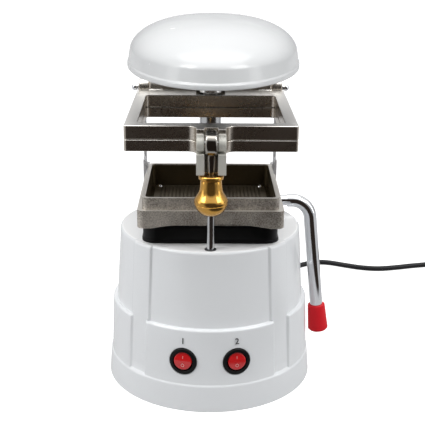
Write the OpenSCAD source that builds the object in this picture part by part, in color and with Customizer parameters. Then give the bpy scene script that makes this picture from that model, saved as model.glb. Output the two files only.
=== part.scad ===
// Dental vacuum former: a round housing with a suction tray on its deck, a frame that clamps a
// plastic sheet and slides on a rear column, a lift lever on the right and a heater head on top.
// Millimetres. Origin: centre of the foot ring on the table. +Z up, -Y front, +X right.

/* [Housing] */
// Radius of the foot ring at the table
ring_r = 93.2; // [91:0.2:96]
// Height of the foot ring
ring_h = 25; // [20:1:30]
// Radius of the lower blocks just above the ring
block_foot_r = 90.2; // [89.8:0.1:91]
// Radius of the lower blocks at their ledge
block_top_r = 88.4; // [87.5:0.1:89.5]
// Height of the ledge on top of the lower blocks
ledge_z = 74; // [66:1:80]
// Angle that one lower block covers
block_deg = 78; // [70:1:84]
// Radius of the pilasters just above the ring
pilaster_foot_r = 89; // [88:0.1:89.7]
// Radius of the pilasters at the deck
pilaster_top_r = 82.7; // [82:0.1:84]
// Angle that one pilaster covers
pilaster_deg = 15; // [12:1:18]
// How far the lower blocks stand proud of the upper panels
block_proud = 5.6; // [4.5:0.1:6]
// Radius of the upper panels at the deck
panel_top_r = 80.6; // [80:0.1:81.8]
// Height of the deck
deck_z = 141; // [139:0.2:143]
// Wall of the housing
wall = 3.6; // [3:0.1:4]

/* [Underside] */
// Thickness of the bottom plate
plate_t = 3; // [2.5:0.5:4]
// Radius of one rubber pad
pad_r = 8; // [6:0.5:10]
// Gap between a rubber pad and the screw beside it
pad_gap = 7.4; // [4:0.2:10]

/* [Tray] */
// Where the tray's middle lies, measured along Y
tray_y = -8; // [-9:0.5:-7]
// Half width of the tray's upper rim
rim_half_w = 57.3; // [56:0.1:58]
// Half depth of the tray's upper rim
rim_half_d = 57; // [56:0.1:58]
// Half width of the tray's lower block
tray_half_w = 61.2; // [60.6:0.1:61.4]
// Half depth of the tray's lower block
tray_half_d = 60.8; // [60:0.1:61]
// Height of the tray's lower edge
tray_z = 157.9; // [157:0.1:158.5]
// Height of the ledge that the frame lands on
seat_z = 173; // [171:0.5:175]
// Height of the tray's upper rim
rim_z = 183.2; // [182:0.1:186]
// Height of the tray's floor
floor_z = 162; // [161.5:0.1:163]
// Wall of the tray
tray_wall = 3; // [2.4:0.1:3.6]
// Rise of the arched lower edge at its middle
arch_rise = 4.6; // [3:0.1:5]
// Holes along one side of the perforated plate
hole_count = 13; // [9:1:15]
// Radius of one hole of the perforated plate
hole_r = 1.5; // [1:0.1:1.9]
// Radius of the plinth's vertical edges
plinth_corner_r = 12; // [8:1:16]
// Half width of the plinth
plinth_half_w = 57.6; // [56:0.1:58.4]

/* [Column] */
// Radius of the column
column_r = 10.25; // [9.5:0.05:10.4]
// Where the column stands, measured along Y
column_y = 67.5; // [66.8:0.1:67.8]
// Height of the column's top
column_top_z = 306; // [300:1:309]

/* [Frames] */
// Half width of the sheet frames
frame_half_w = 69.6; // [69:0.1:71]
// Front edge of the sheet frames
frame_front_y = -79.7; // [-80.2:0.1:-79.2]
// Rear edge of the lower frame
frame_rear_y = 97; // [96.8:0.1:99]
// Half width of the frames' opening
open_half_w = 59.5; // [58.6:0.1:60.4]
// Front edge of the frames' opening
open_front_y = -68.3; // [-68.6:0.1:-67.8]
// Rear edge of the frames' opening
open_rear_y = 52.3; // [51:0.1:54]
// Height of the lower frame's underside
frame_z = 226.3; // [224:0.1:228]
// Thickness of the lower frame
lower_t = 9.3; // [8:0.1:10]
// Thickness of the upper frame
upper_t = 11.4; // [10:0.1:12]
// Gap between the frames for the plastic sheet
sheet_gap = 0.3; // [0.2:0.1:0.8]
// Radius of the front guide rod
rod_r = 3.15; // [2.8:0.05:3.3]
// Where the front guide rod stands, measured along Y
rod_y = -72.8; // [-73:0.1:-72.7]

/* [Latch] */
// Where the latch pin lies, measured along Y
latch_y = -96; // [-96.5:0.1:-95.5]
// Height of the latch pin
latch_z = 237; // [236.6:0.1:237.4]
// Radius of the ears round the latch pin
ear_r = 6.3; // [6:0.1:6.5]
// Half width of the latch boss and of its fork
boss_half_w = 11.75; // [11:0.1:12.5]
// Half width of the slot in the boss and fork
slot_half_w = 5.3; // [5.2:0.1:5.6]
// Height of the fork's lower face
fork_z = 212.5; // [211:0.1:214]
// Length of the knob
knob_len = 33.7; // [31:0.1:36]
// Greatest radius of the knob
knob_r = 13.5; // [12.5:0.1:13.8]

/* [Lever] */
// Radius of the lever rod
lever_r = 5; // [4.6:0.1:5.1]
// Where the lever shaft lies, measured along Y
shaft_y = 51.5; // [51.4:0.05:51.6]
// Height of the lever shaft
shaft_z = 146.4; // [146.3:0.05:146.8]
// Distance from the shaft to a crank pin
crank_r = 34; // [33:0.5:35]
// Inner face of the right crank, measured along X
crank_x = 58.4; // [58.3:0.05:58.5]
// Thickness of a crank
crank_t = 3; // [2.6:0.1:3.1]
// Thickness of a lift plate
lift_t = 2; // [1.6:0.1:2.4]
// Radius of a crank pin
crank_pin_r = 3; // [2.6:0.1:3.2]
// Where the lever's arm would meet the shaft's axis, measured along X
lever_corner_x = 94.7; // [93:0.1:97]
// Radius of the lever's bend along its centre line
lever_bend_r = 13; // [11:0.5:15]
// Angle by which the lever's arm leans outwards
lever_lean = 6; // [4:0.5:8]
// Length of the lever's arm from the shaft's axis to the end of the grip
lever_len = 138; // [130:1:140]
// Length of the grip
grip_len = 30.5; // [26:0.5:40]

/* [Head] */
// Half width of the head
head_half_w = 73.5; // [71:0.5:76]
// Where the head is widest, measured along Y
head_y = 39; // [36:1:42]
// Reach of the head's rim in front of its widest line
head_front = 146; // [143:1:149]
// Reach of the head's rim behind its widest line
head_rear = 66; // [64:1:69]
// Height of the head's rim
head_z = 280; // [278:0.5:284]
// Height of the rim's raised lip
lip_h = 4.6; // [3.5:0.1:6]
// Height where the head's side wall turns into the shoulder
shoulder_z = 298; // [295:0.5:300]
// Height of the head's crown
crown_z = 325.5; // [322:0.5:329]
// Wall of the head's shell
head_wall = 2.6; // [2:0.1:3.2]

/* [Switches] */
// Distance of each switch from the middle
switch_x = 23; // [21:0.5:25]
// Height of the switches
switch_z = 45.2; // [43:0.1:48]
// Radius of the switch bezel
bezel_r = 11.5; // [11:0.1:12.2]
// Radius of the rocker
rocker_r = 7.75; // [7:0.05:8]
// Tilt of a rocker at rest
rocker_tilt = 7; // [5:0.5:8]

/* [Power cord] */
// Radius of the cord
cord_r = 3; // [2.6:0.1:3.2]
// Radius of the coil's innermost turn
coil_in_r = 27; // [24:0.5:30]
// Distance between neighbouring turns of the coil
coil_pitch = 6.8; // [6.6:0.1:7.4]

/* [Hidden] */
$fn = 96;
tiny = 0.02;   // gap of a tight seat
run = 0.05;    // radial gap of a running fit
clear = 0.3;   // gap between parts that pass each other
over = 1;      // how far a cut reaches past the face that it opens

// Points of an arc from angle a0 to a1 about [cx, cy]
function arc(cx, cy, r, a0, a1, n = 6) =
    [for (i = [0:n]) let (a = a0 + (a1 - a0) * i / n) [cx + r * cos(a), cy + r * sin(a)]];

module rounded_rect(half_w, half_d, r) {
    square([2 * half_w, 2 * half_d - 2 * r], center = true);
    square([2 * half_w - 2 * r, 2 * half_d], center = true);
    for (sx = [-1, 1], sy = [-1, 1])
        translate([sx * (half_w - r), sy * (half_d - r)]) circle(r);
}

module slab(half_w, half_d, r, z0, z1, y = 0) {
    translate([0, y, z0]) linear_extrude(z1 - z0) rounded_rect(half_w, half_d, r);
}

module bar(r, len, pos) {
    translate(pos) rotate([0, 90, 0]) cylinder(r = r, h = len);
}

// Housing

ring_top_r = ring_r - 1.8;
panel_foot_r = block_foot_r - block_proud;
ring_round = 3;
edge_round = 2.6;
boss_r = 5.6;
boss_h = 22;
cavity_r = ring_r - 3.9;
// The bosses lean on the foot ring's wall
boss_ring_r = cavity_r - boss_r + 0.9;
duct_r = 17.6;
plinth_y = tray_y + 1;
bushing_r = 4.2;
bushing_flange_r = 4.9;
trough_depth = 3;
crank_slot = [crank_x - 1.2, crank_x + crank_t + 0.9];
crank_slot_depth = 13;
gland_x = 30;
gland_z = 33;
gland_r = 6;
gland_hole_r = 4.6;
gland_len = 34;
gland_face_y = sqrt(block_foot_r * block_foot_r - gland_x * gland_x) - 1.2;
screw_r = 1.6;
head_screw_r = 3.2;
socket_r = column_r + 5;
socket_foot_r = column_r + 5.4;
socket_h = 26;
switch_deg = asin(switch_x / block_foot_r);
switch_face_r = block_foot_r - 1.9;
switch_barrel_r = 9.9;

core_profile = concat([[0, 0], [ring_r, 0]],
    arc(ring_top_r - ring_round, ring_h - ring_round, ring_round, 4, 84),
    [[panel_foot_r + 2, ring_h], [panel_foot_r, ledge_z]],
    arc(panel_top_r - edge_round, deck_z - edge_round, edge_round, 3, 90),
    [[0, deck_z]]);
pilaster_profile = concat([[70, ring_h - 4], [pilaster_foot_r, ring_h - 4]],
    arc(pilaster_top_r - edge_round, deck_z - edge_round, edge_round, 3, 90), [[70, deck_z]]);
block_profile = concat([[70, ring_h - 4], [block_foot_r, ring_h - 4]],
    arc(block_top_r - edge_round, ledge_z - edge_round, edge_round, 3, 75),
    [[panel_foot_r - 1, ledge_z], [70, ledge_z]]);
cavity_profile = [[0, -over], [cavity_r, -over], [cavity_r, ring_h - 4],
    [panel_foot_r + 2 - wall, ring_h + 2], [panel_foot_r - wall, ledge_z],
    [panel_top_r - wall, deck_z - wall], [0, deck_z - wall]];

module sector(deg, middle, profile) {
    rotate(middle - deg / 2) rotate_extrude(angle = deg, $fn = 180) polygon(profile);
}

module at_switch(side) {
    rotate([0, 0, side * switch_deg]) translate([0, -switch_face_r, switch_z]) children();
}

module cavity() {
    difference() {
        rotate_extrude($fn = 180) polygon(cavity_profile);
        for (a = [45:90:315]) rotate(a) translate([boss_ring_r, 0, plate_t + tiny])
            cylinder(r = boss_r, h = boss_h);
        for (s = [-1, 1]) translate([s * (crank_x + 1.5) - 6, shaft_y - 6, deck_z - 18])
            cube([12, 40, 30]);
    }
}

module housing() {
    color("whitesmoke") difference() {
        union() {
            rotate_extrude($fn = 180) polygon(core_profile);
            for (a = [45:90:315]) sector(pilaster_deg, a, pilaster_profile);
            for (a = [0:90:270]) sector(block_deg, a, block_profile);
        }
        cavity();
        // Room for the column socket
        translate([0, column_y, -over]) cylinder(r = socket_foot_r + 0.3, h = socket_h + 0.2 + over);
        // Seats of the column, the suction duct and the guide bushing
        translate([0, column_y, ring_h]) cylinder(r = column_r + tiny, h = deck_z);
        translate([0, plinth_y, deck_z - wall - over]) cylinder(r = duct_r + tiny, h = wall + 2 * over);
        translate([0, rod_y, deck_z - wall - over]) cylinder(r = bushing_r + tiny, h = wall + 2 * over);
        // Troughs under the lever shaft and slots for the cranks
        for (s = [-1, 1]) {
            translate([s * 74 - 20, shaft_y - 9, deck_z - trough_depth]) cube([40, 18, 10]);
            translate([s > 0 ? crank_slot[0] : -crank_slot[1], shaft_y, deck_z - crank_slot_depth])
                cube([crank_slot[1] - crank_slot[0], 30, 20]);
        }
        // Spot faces and holes of the switches
        for (s = [-1, 1]) at_switch(s) {
            rotate([90, 0, 0]) cylinder(r = bezel_r + 0.4, h = 8);
            rotate([-90, 0, 0]) translate([0, 0, -over]) cylinder(r = switch_barrel_r + tiny, h = 14);
        }
        // Cord outlet at the rear
        translate([gland_x, 60, gland_z]) rotate([-90, 0, 0]) cylinder(r = gland_hole_r + tiny, h = 40);
        translate([gland_x, gland_face_y, gland_z]) rotate([-90, 0, 0]) cylinder(r = gland_r + 1, h = 12);
        // Pilot holes for the bottom screws
        for (a = [45:90:315]) rotate(a) translate([boss_ring_r, 0, 0]) cylinder(r = screw_r, h = 16);
    }
}

// Underside

plate_r = cavity_r - 0.2;
pad_t = 1.6;
pad_ring_r = boss_ring_r - head_screw_r - pad_gap - pad_r;
vent_len = 26;
vent_w = 3;

module bottom_plate() {
    color("silver") difference() {
        cylinder(r = plate_r, h = plate_t);
        for (a = [45:90:315]) rotate(a) translate([pad_ring_r, 0, -over])
            cylinder(r = pad_r + tiny, h = pad_t + over);
        for (a = [45:90:315]) rotate(a) translate([boss_ring_r, 0, -over]) {
            cylinder(r = screw_r + 0.15, h = plate_t + 2 * over);
            cylinder(r = head_screw_r + 0.2, h = 1.7 + over);
        }
        for (i = [-3.5:3.5]) translate([i * 8 - vent_w / 2, tray_y - vent_len / 2, -over])
            cube([vent_w, vent_len, plate_t + 2 * over]);
    }
}

module rubber_pads() {
    color("dimgray") for (a = [45:90:315]) rotate(a) translate([pad_ring_r, 0, 0])
        cylinder(r = pad_r, h = pad_t - tiny);
}

module base_screws() {
    color("silver") for (a = [45:90:315]) rotate(a) translate([boss_ring_r, 0, 0.2]) {
        cylinder(r = head_screw_r, h = 1.5);
        cylinder(r = screw_r - tiny, h = 14);
    }
}

// Suction side

motor_r = 46;
motor_z = [18, 106];
cap_r = 49;
cap_h = 5;
neck_r = 15;
cradle_t = 3;
duct_bore_r = 15;
duct_z0 = 116;

module motor_cradle() {
    color("gray") translate([0, plinth_y, 0]) difference() {
        rotate_extrude() polygon([[36, plate_t], [motor_r + cradle_t + 6, plate_t],
            [motor_r + cradle_t + 6, plate_t + 2.5], [motor_r + cradle_t, plate_t + 2.5],
            [motor_r + cradle_t, 34], [motor_r + 0.1, 34], [motor_r + 0.1, motor_z[0]],
            [36, motor_z[0]]]);
        for (a = [0:60:300]) rotate(a) translate([0, 0, 11]) rotate([0, 90, 0])
            cylinder(r = 4, h = motor_r + 12);
    }
}

module vacuum_motor() {
    color("darkgray") translate([0, plinth_y, 0]) rotate_extrude() polygon([[0, motor_z[0]],
        [motor_r, motor_z[0]], [motor_r, motor_z[1] - cap_h], [cap_r, motor_z[1] - cap_h],
        [cap_r, motor_z[1]], [26, motor_z[1] + 4], [neck_r - 3, motor_z[1] + 4],
        [neck_r - 3, motor_z[1] - 2], [0, motor_z[1] - 2]]);
}

module suction_duct() {
    color("black") translate([0, plinth_y, 0]) difference() {
        union() {
            translate([0, 0, motor_z[1] + 4]) cylinder(r = duct_r + 3, h = 12);
            translate([0, 0, motor_z[1] + 4]) cylinder(r = duct_r, h = tray_z - motor_z[1] - 4);
        }
        translate([0, 0, motor_z[1]]) cylinder(r = duct_bore_r, h = tray_z);
    }
}

plinth_half_d = 50.3;
groove_z = tray_z - 2.6;
riser_h = 1.2;

module plinth() {
    color("black") difference() {
        union() {
            slab(plinth_half_w + 0.8, plinth_half_d + 0.8, plinth_corner_r, deck_z, deck_z + 2.2, plinth_y);
            slab(plinth_half_w, plinth_half_d, plinth_corner_r, deck_z, tray_z, plinth_y);
            slab(plinth_half_w - 2, plinth_half_d - 2, plinth_corner_r - 2, deck_z, tray_z + riser_h,
                plinth_y);
        }
        difference() {
            slab(plinth_half_w + 3, plinth_half_d + 3, plinth_corner_r, groove_z, groove_z + 0.8, plinth_y);
            slab(plinth_half_w - 0.6, plinth_half_d - 0.6, plinth_corner_r - 0.6, groove_z - over,
                groove_z + 2, plinth_y);
        }
        translate([0, plinth_y, deck_z - over]) cylinder(r = duct_r + tiny, h = tray_z - deck_z + 2 + over);
        translate([0, plinth_y, deck_z + 10]) cylinder(r = 34, h = tray_z);
    }
}

tray_corner_r = 6;
skirt = 4;
well_half = 46;
arch_half_w = 50;
arch_r = (arch_half_w * arch_half_w + arch_rise * arch_rise) / (2 * arch_rise);

module tray() {
    color("tan") difference() {
        union() {
            slab(tray_half_w, tray_half_d, tray_corner_r, tray_z, seat_z, tray_y);
            slab(rim_half_w, rim_half_d, tray_corner_r - 1, seat_z - over, rim_z, tray_y);
        }
        slab(rim_half_w - tray_wall, rim_half_d - tray_wall, tray_corner_r - 2.4, floor_z, rim_z + over,
            tray_y);
        slab(well_half, well_half, 4, tray_z - over, floor_z + over, tray_y);
        slab(tray_half_w - skirt, tray_half_d - skirt, tray_corner_r - 2, tray_z - over,
            tray_z + riser_h + 0.1, tray_y);
        // Arched lower edge of the front and rear skirts
        for (s = [-1, 1]) translate([0, tray_y + s * (tray_half_d - skirt / 2), tray_z + arch_rise - arch_r])
            rotate([90, 0, 0]) cylinder(r = arch_r, h = skirt + tiny, center = true, $fn = 200);
        // Tapped holes under the plate screws
        plate_screw_places() translate([0, 0, floor_z - 2.4]) cylinder(r = plate_screw_r, h = 4);
    }
}

sieve_half = 51;
sieve_t = 1.5;
sieve_pitch = 90 / (hole_count - 1);
plate_screw_r = 1.5;
plate_screw_at = 48;

module plate_screw_places() {
    for (sx = [-1, 1], sy = [-1, 1]) translate([sx * (plate_screw_at - 1), tray_y + sy * plate_screw_at, 0])
        children();
}

module perforated_plate() {
    color("darkkhaki") difference() {
        slab(sieve_half, sieve_half, 3, floor_z, floor_z + sieve_t, tray_y);
        for (i = [0:hole_count - 1], j = [0:hole_count - 1])
            if (!((i == 0 || i == hole_count - 1) && (j == 0 || j == hole_count - 1)))
                translate([(i - (hole_count - 1) / 2) * sieve_pitch,
                    tray_y + (j - (hole_count - 1) / 2) * sieve_pitch, floor_z - over])
                    cylinder(r = hole_r, h = sieve_t + 2 * over, $fn = 24);
        plate_screw_places() translate([0, 0, floor_z - over]) cylinder(r = plate_screw_r + 0.1, h = 4);
    }
}

module plate_screws() {
    color("silver") plate_screw_places() {
        translate([0, 0, floor_z - 2.2]) cylinder(r = plate_screw_r - tiny, h = 4);
        translate([0, 0, floor_z + sieve_t]) rotate_extrude() polygon(concat([[0, 0], [2.8, 0]],
            arc(0, -1.2, 3.05, 23, 90)));
    }
}

// Column and guide

module column() {
    color("silver") translate([0, column_y, plate_t]) cylinder(r = column_r, h = column_top_z - plate_t);
}

module column_socket() {
    color("gray") translate([0, column_y, plate_t]) difference() {
        union() {
            cylinder(r = socket_r, h = socket_h - plate_t);
            cylinder(r = socket_foot_r, h = 4);
        }
        translate([0, 0, -over]) cylinder(r = column_r + tiny, h = socket_h + over);
    }
}

collar_z = head_z - 12;
collar_h = 7;

module column_collar() {
    color("silver") translate([0, column_y, collar_z]) difference() {
        cylinder(r = column_r + 5.5, h = collar_h);
        translate([0, 0, -over]) cylinder(r = column_r + tiny, h = collar_h + 2 * over);
    }
}

module rod_bushing() {
    color("dimgray") translate([0, rod_y, 0]) difference() {
        union() {
            translate([0, 0, deck_z - wall - 3]) cylinder(r = bushing_r, h = wall + 3);
            translate([0, 0, deck_z]) cylinder(r = bushing_flange_r, h = 0.8);
        }
        translate([0, 0, deck_z - 10]) cylinder(r = rod_r + run, h = 20);
    }
}

bearing_x = 31;
bearing_w = 12;
bearing_d = 14.6;
bearing_foot_y = 64;
bearing_foot_t = 3;
bearing_top = shaft_z + lever_r + 3;

module bearing_screw_places() {
    for (s = [-1, 1], dx = [2.8, bearing_w - 2.8])
        translate([s * (bearing_x + dx), bearing_foot_y - 2.6, deck_z]) children();
}

module shaft_bearings() {
    color("gray") difference() {
        for (s = [-1, 1]) translate([s > 0 ? bearing_x : -bearing_x - bearing_w, 0, deck_z]) {
            translate([0, shaft_y - bearing_d / 2, 0]) cube([bearing_w, bearing_d, bearing_top - deck_z]);
            translate([0, shaft_y, 0]) cube([bearing_w, bearing_foot_y - shaft_y, bearing_foot_t]);
        }
        bar(lever_r + run, 200, [-100, shaft_y, shaft_z]);
        bearing_screw_places() translate([0, 0, -over]) cylinder(r = 1.2, h = bearing_foot_t + 2 * over);
    }
}

module bearing_screws() {
    color("silver") bearing_screw_places() {
        cylinder(r = 1.2 - tiny, h = bearing_foot_t + 0.1);
        translate([0, 0, bearing_foot_t]) cylinder(r = 2.1, h = 1.3);
    }
}

// Switches

bezel_t = 2.2;
rocker_pocket_r = 8.4;
rocker_depth = 6;

module switch_body(side) {
    color("black") at_switch(side) difference() {
        union() {
            rotate([90, 0, 0]) rotate_extrude() polygon(concat([[0, 0], [bezel_r, 0], [bezel_r, 1]],
                arc(bezel_r - 1.4, 0.8, 1.4, 10, 90), [[0, bezel_t]]));
            rotate([-90, 0, 0]) cylinder(r = switch_barrel_r, h = 12);
            for (p = [-1, 1]) translate([p * 3 - 0.4, 10, -2.4]) cube([0.8, 9, 4.8]);
        }
        translate([0, -bezel_t - over, 0]) rotate([-90, 0, 0])
            cylinder(r = rocker_pocket_r, h = rocker_depth + 3 + over);
    }
}

module switch_body_left() { switch_body(-1); }
module switch_body_right() { switch_body(1); }

rocker_pivot = 2.2;   // depth of the rocker's pivot behind the spot face

module rocker(side) {
    color("red") at_switch(side) translate([0, rocker_pivot, 0]) rotate([-rocker_tilt, 0, 0])
        difference() {
            rotate([90, 0, 0]) translate([0, 0, -2.4]) cylinder(r = rocker_r, h = 8.2);
            for (s = [-1, 1]) translate([0, -4.9, 0]) rotate([s * rocker_tilt, 0, 0])
                translate([-10, -10, s > 0 ? 0 : -12]) cube([20, 10, 12]);
        }
}

module rocker_left() { rocker(-1); }
module rocker_right() { rocker(1); }

// Power cord

module cord_gland() {
    color("black") translate([gland_x, gland_face_y, gland_z]) rotate([-90, 0, 0]) difference() {
        union() {
            translate([0, 0, -6]) cylinder(r = gland_hole_r, h = 8);
            cylinder(r = gland_r, h = 3);
            translate([0, 0, 3]) cylinder(r1 = cord_r + 2, r2 = cord_r + 1, h = gland_len - 3);
        }
        translate([0, 0, gland_len - 2]) cylinder(r = cord_r + 0.1, h = 5);
    }
}

floor_cord_z = cord_r;
cord_start_y = gland_face_y + gland_len - 2;
cord_route = [[gland_x, cord_start_y, gland_z], [gland_x, cord_start_y + 10, gland_z - 0.6],
    [31, 136, 26], [33, 152, 16], [37, 168, 7], [43, 184, floor_cord_z], [53, 202, floor_cord_z],
    [67, 221, floor_cord_z], [86, 238, floor_cord_z], [106, 250, floor_cord_z],
    [120, 259, floor_cord_z], [134, 264, floor_cord_z], [148, 262, floor_cord_z],
    [165, 254, floor_cord_z], [184, 246, floor_cord_z], [204, 243, floor_cord_z],
    [225, 247, floor_cord_z], [246, 253, floor_cord_z], [268, 258, floor_cord_z],
    [290, 261, floor_cord_z], [304, 262, floor_cord_z], [313, 262, floor_cord_z]];

function catmull(p0, p1, p2, p3, t) = 0.5 * (2 * p1 + (p2 - p0) * t
    + (2 * p0 - 5 * p1 + 4 * p2 - p3) * t * t + (3 * p1 - p0 - 3 * p2 + p3) * t * t * t);
function smooth_path(p, n) = concat([for (i = [0:len(p) - 2], k = [0:n - 1])
    catmull(p[max(i - 1, 0)], p[i], p[i + 1], p[min(i + 2, len(p) - 1)], k / n)], [p[len(p) - 1]]);
function path_len(p, i = 0) = i >= len(p) - 1 ? 0 : norm(p[i + 1] - p[i]) + path_len(p, i + 1);
function unit(v) = v / norm(v);
function tangent(p, i) = unit(p[min(i + 1, len(p) - 1)] - p[max(i - 1, 0)]);
function ring_at(p, i, r, n) = let (t = tangent(p, i), s = unit(cross([0, 0, 1], t)), u = cross(t, s))
    [for (k = [0:n - 1]) p[i] + r * (cos(360 * (k + 0.5) / n) * s + sin(360 * (k + 0.5) / n) * u)];

module tube(path, r, n) {
    m = len(path);
    points = concat([for (i = [0:m - 1]) each ring_at(path, i, r, n)], [path[0], path[m - 1]]);
    polyhedron(points, concat(
        [for (i = [0:m - 2], k = [0:n - 1]) each let (a = i * n + k, b = i * n + (k + 1) % n)
            [[a, b, b + n], [a, b + n, a + n]]],
        [for (k = [0:n - 1]) [m * n, (k + 1) % n, k]],
        [for (k = [0:n - 1]) [m * n + 1, (m - 1) * n + k, (m - 1) * n + (k + 1) % n]]));
}

module cord_free() {
    color("black") tube(smooth_path(cord_route, 2), cord_r, 8);
}

// The coil spirals in on the table, climbs one layer and spirals out again
coil_in_turns = 2.5;
coil_out_turns = 2.25;
coil_turns = coil_in_turns + 0.5 + coil_out_turns;
coil_steps = 24;
coil_layer = 2 * cord_r + 0.7;
coil_start = cord_route[len(cord_route) - 1];
coil_lead = 2 * cord_r;
coil_reverse = coil_in_turns + 0.25;
function coil_r(u) = coil_in_r + coil_pitch * (abs(u - coil_reverse) - 0.25);
function climb(u) = let (t = min(max((u - coil_in_turns) / 0.5, 0), 1)) t * t * (3 - 2 * t);
coil_centre = [coil_start[0] + coil_lead, coil_start[1] - coil_r(0), floor_cord_z];
function coil_point(u) = coil_centre
    + [coil_r(u) * cos(90 - 360 * u), coil_r(u) * sin(90 - 360 * u), climb(u) * coil_layer];
coil_out = coil_point(coil_turns);
coil_exit = [[0.7, -8], [3, -16], [8, -24], [15, -30], [24, -33.4], [34, -34.4]];
coil_end = coil_out + [44, -34.4, 0];
coil_path = concat([coil_start, coil_start + [coil_lead * 0.6, 0, 0]],
    [for (i = [0:coil_turns * coil_steps]) coil_point(i / coil_steps)],
    [for (p = coil_exit) coil_out + [p[0], p[1], 0]], [coil_end]);
coil_gap = min([for (i = [0:coil_turns * coil_steps], j = [i + coil_steps / 2:coil_turns * coil_steps])
    norm(coil_point(i / coil_steps) - coil_point(j / coil_steps))]) - 2 * cord_r;
echo(coil_least_gap = coil_gap, cord_length = path_len(smooth_path(cord_route, 2)) + path_len(coil_path));

module cord_coil() {
    color("black") tube(coil_path, cord_r, 6);
}

plug_half_h = 9.2;
plug_half_w = 13;
plug_len = 38;
plug_pin_r = 2.4;
plug_pin_len = 19;
plug_pin_gap = 19;

module plug() {
    color("black") translate(coil_end) rotate([0, 90, 0]) {
        cylinder(r1 = cord_r + 1.2, r2 = cord_r + 2.2, h = 14);
        translate([0, 0, 12]) linear_extrude(plug_len - 12) rounded_rect(plug_half_h, plug_half_w, 6);
        translate([0, 0, plug_len]) linear_extrude(3) rounded_rect(plug_half_h, plug_half_w + 2, 6);
    }
    color("silver") for (s = [-1, 1])
        bar(plug_pin_r, plug_pin_len, coil_end + [plug_len + 3, s * plug_pin_gap / 2, 0]);
}

// Sheet frames

lower_top = frame_z + lower_t;
upper_z = lower_top + sheet_gap;
upper_top = upper_z + upper_t;
open_mid_y = (open_front_y + open_rear_y) / 2;
open_half_d = (open_rear_y - open_front_y) / 2;
boss_fillet = 8;
lower_boss_y = latch_y + ear_r + 0.6;
upper_boss_y = latch_y + 4;
slot_back_y = latch_y + 11.5;
fork_front_y = latch_y - 5.6;
fork_back_y = latch_y + 12;
fork_top_z = frame_z + 3.1;
fork_slot_y = latch_y + 6;
hinge_y = 90;
hinge_z = upper_top + 0.7;
hinge_pin_r = 2.5;
hinge_lug_r = 6.2;
hinge_in = [46, 58.2];
hinge_out = [58.5, 68.4];
frame_corner_r = 2.5;
bush_r = column_r + 3.8;
notch_r = column_r + 3;
notch_corner_r = 2.5;
lift_x = crank_x + crank_t + 0.6;

// Plan of a frame's bar work: outline, opening and the boss at the front
module frame_plan(rear_y, boss_y) {
    difference() {
        union() {
            translate([0, (frame_front_y + rear_y) / 2])
                rounded_rect(frame_half_w, (rear_y - frame_front_y) / 2, frame_corner_r);
            translate([-boss_half_w, boss_y]) square([2 * boss_half_w, frame_front_y - boss_y + 2]);
            for (s = [-1, 1]) difference() {
                translate([s > 0 ? boss_half_w - tiny : -boss_half_w - boss_fillet + tiny,
                    frame_front_y - boss_fillet]) square([boss_fillet, boss_fillet + 1]);
                translate([s * (boss_half_w + boss_fillet), frame_front_y - boss_fillet]) circle(boss_fillet);
            }
        }
        translate([0, open_mid_y]) rounded_rect(open_half_w, open_half_d, 4);
        translate([-slot_half_w, boss_y - 20]) square([2 * slot_half_w, slot_back_y - boss_y + 20]);
    }
}

module lower_frame() {
    color("tan") difference() {
        union() {
            translate([0, 0, frame_z]) linear_extrude(lower_t) frame_plan(frame_rear_y, lower_boss_y);
            // Fork that the swing bolt lies in
            translate([-boss_half_w, fork_front_y, fork_z])
                cube([2 * boss_half_w, fork_back_y - fork_front_y, fork_top_z - fork_z]);
            // Hinge lugs at the rear corners
            for (s = [-1, 1]) translate([s > 0 ? hinge_out[0] : -hinge_out[1], 0, 0]) {
                translate([0, hinge_y - hinge_lug_r, lower_top - over])
                    cube([hinge_out[1] - hinge_out[0], 2 * hinge_lug_r, hinge_z - lower_top + over]);
                bar(hinge_lug_r, hinge_out[1] - hinge_out[0], [0, hinge_y, hinge_z]);
            }
        }
        translate([-slot_half_w, fork_front_y - over, fork_z - over])
            cube([2 * slot_half_w, fork_slot_y - fork_front_y + over, fork_top_z - fork_z + 2 * over]);
        translate([-slot_half_w, fork_front_y - over, frame_z - 0.4])
            cube([2 * slot_half_w, slot_back_y - fork_front_y + over, lower_t]);
        translate([0, column_y, frame_z - over]) cylinder(r = bush_r + tiny, h = lower_t + 2 * over);
        bar(hinge_pin_r + tiny, 200, [-100, hinge_y, hinge_z]);
        // Blind seat of the guide rod
        translate([0, rod_y, frame_z - over]) cylinder(r = rod_r + tiny, h = 6 + over);
        lift_screw_places() translate([0, 0, frame_z - over]) cylinder(r = 1.5, h = 7);
    }
}

module column_bushing() {
    color("darkgray") translate([0, column_y, 0]) difference() {
        union() {
            translate([0, 0, frame_z - 12]) cylinder(r = bush_r, h = 12 + lower_t);
            translate([0, 0, frame_z - 14]) cylinder(r = bush_r - 1, h = 2);
        }
        translate([0, 0, frame_z - 20]) cylinder(r = column_r + run, h = 60);
    }
}

rod_bottom_z = 100;

module front_rod() {
    color("silver") translate([0, rod_y, rod_bottom_z])
        cylinder(r = rod_r, h = frame_z + 6 - tiny - rod_bottom_z);
}

// Lift linkage: the travel lands the lower frame on the tray's ledge

seat_gap = 0.4;
travel = frame_z - seat_z - seat_gap;
crank_deg = asin(travel / 2 / crank_r);
swing_deg = 2 * crank_deg;
pin_y = shaft_y + crank_r * cos(crank_deg);
pin_z = shaft_z + travel / 2;
echo(travel = travel, swing_deg = swing_deg, ratio = swing_deg * PI / 180 / (travel / 1000));
slot_slack = 1.7;
slot_half_h = crank_pin_r + slot_slack;
yoke_y = [pin_y - 8, shaft_y + crank_r + 8];
shank_y = [78, 92];
yoke_h = 9.6;
tab_w = 12;
tab_t = 2.5;

module lift_screw_places() {
    for (s = [-1, 1], y = [shank_y[0] + 3, shank_y[1] - 3])
        translate([s * (lift_x - 5.5), y, 0]) children();
}

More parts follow.
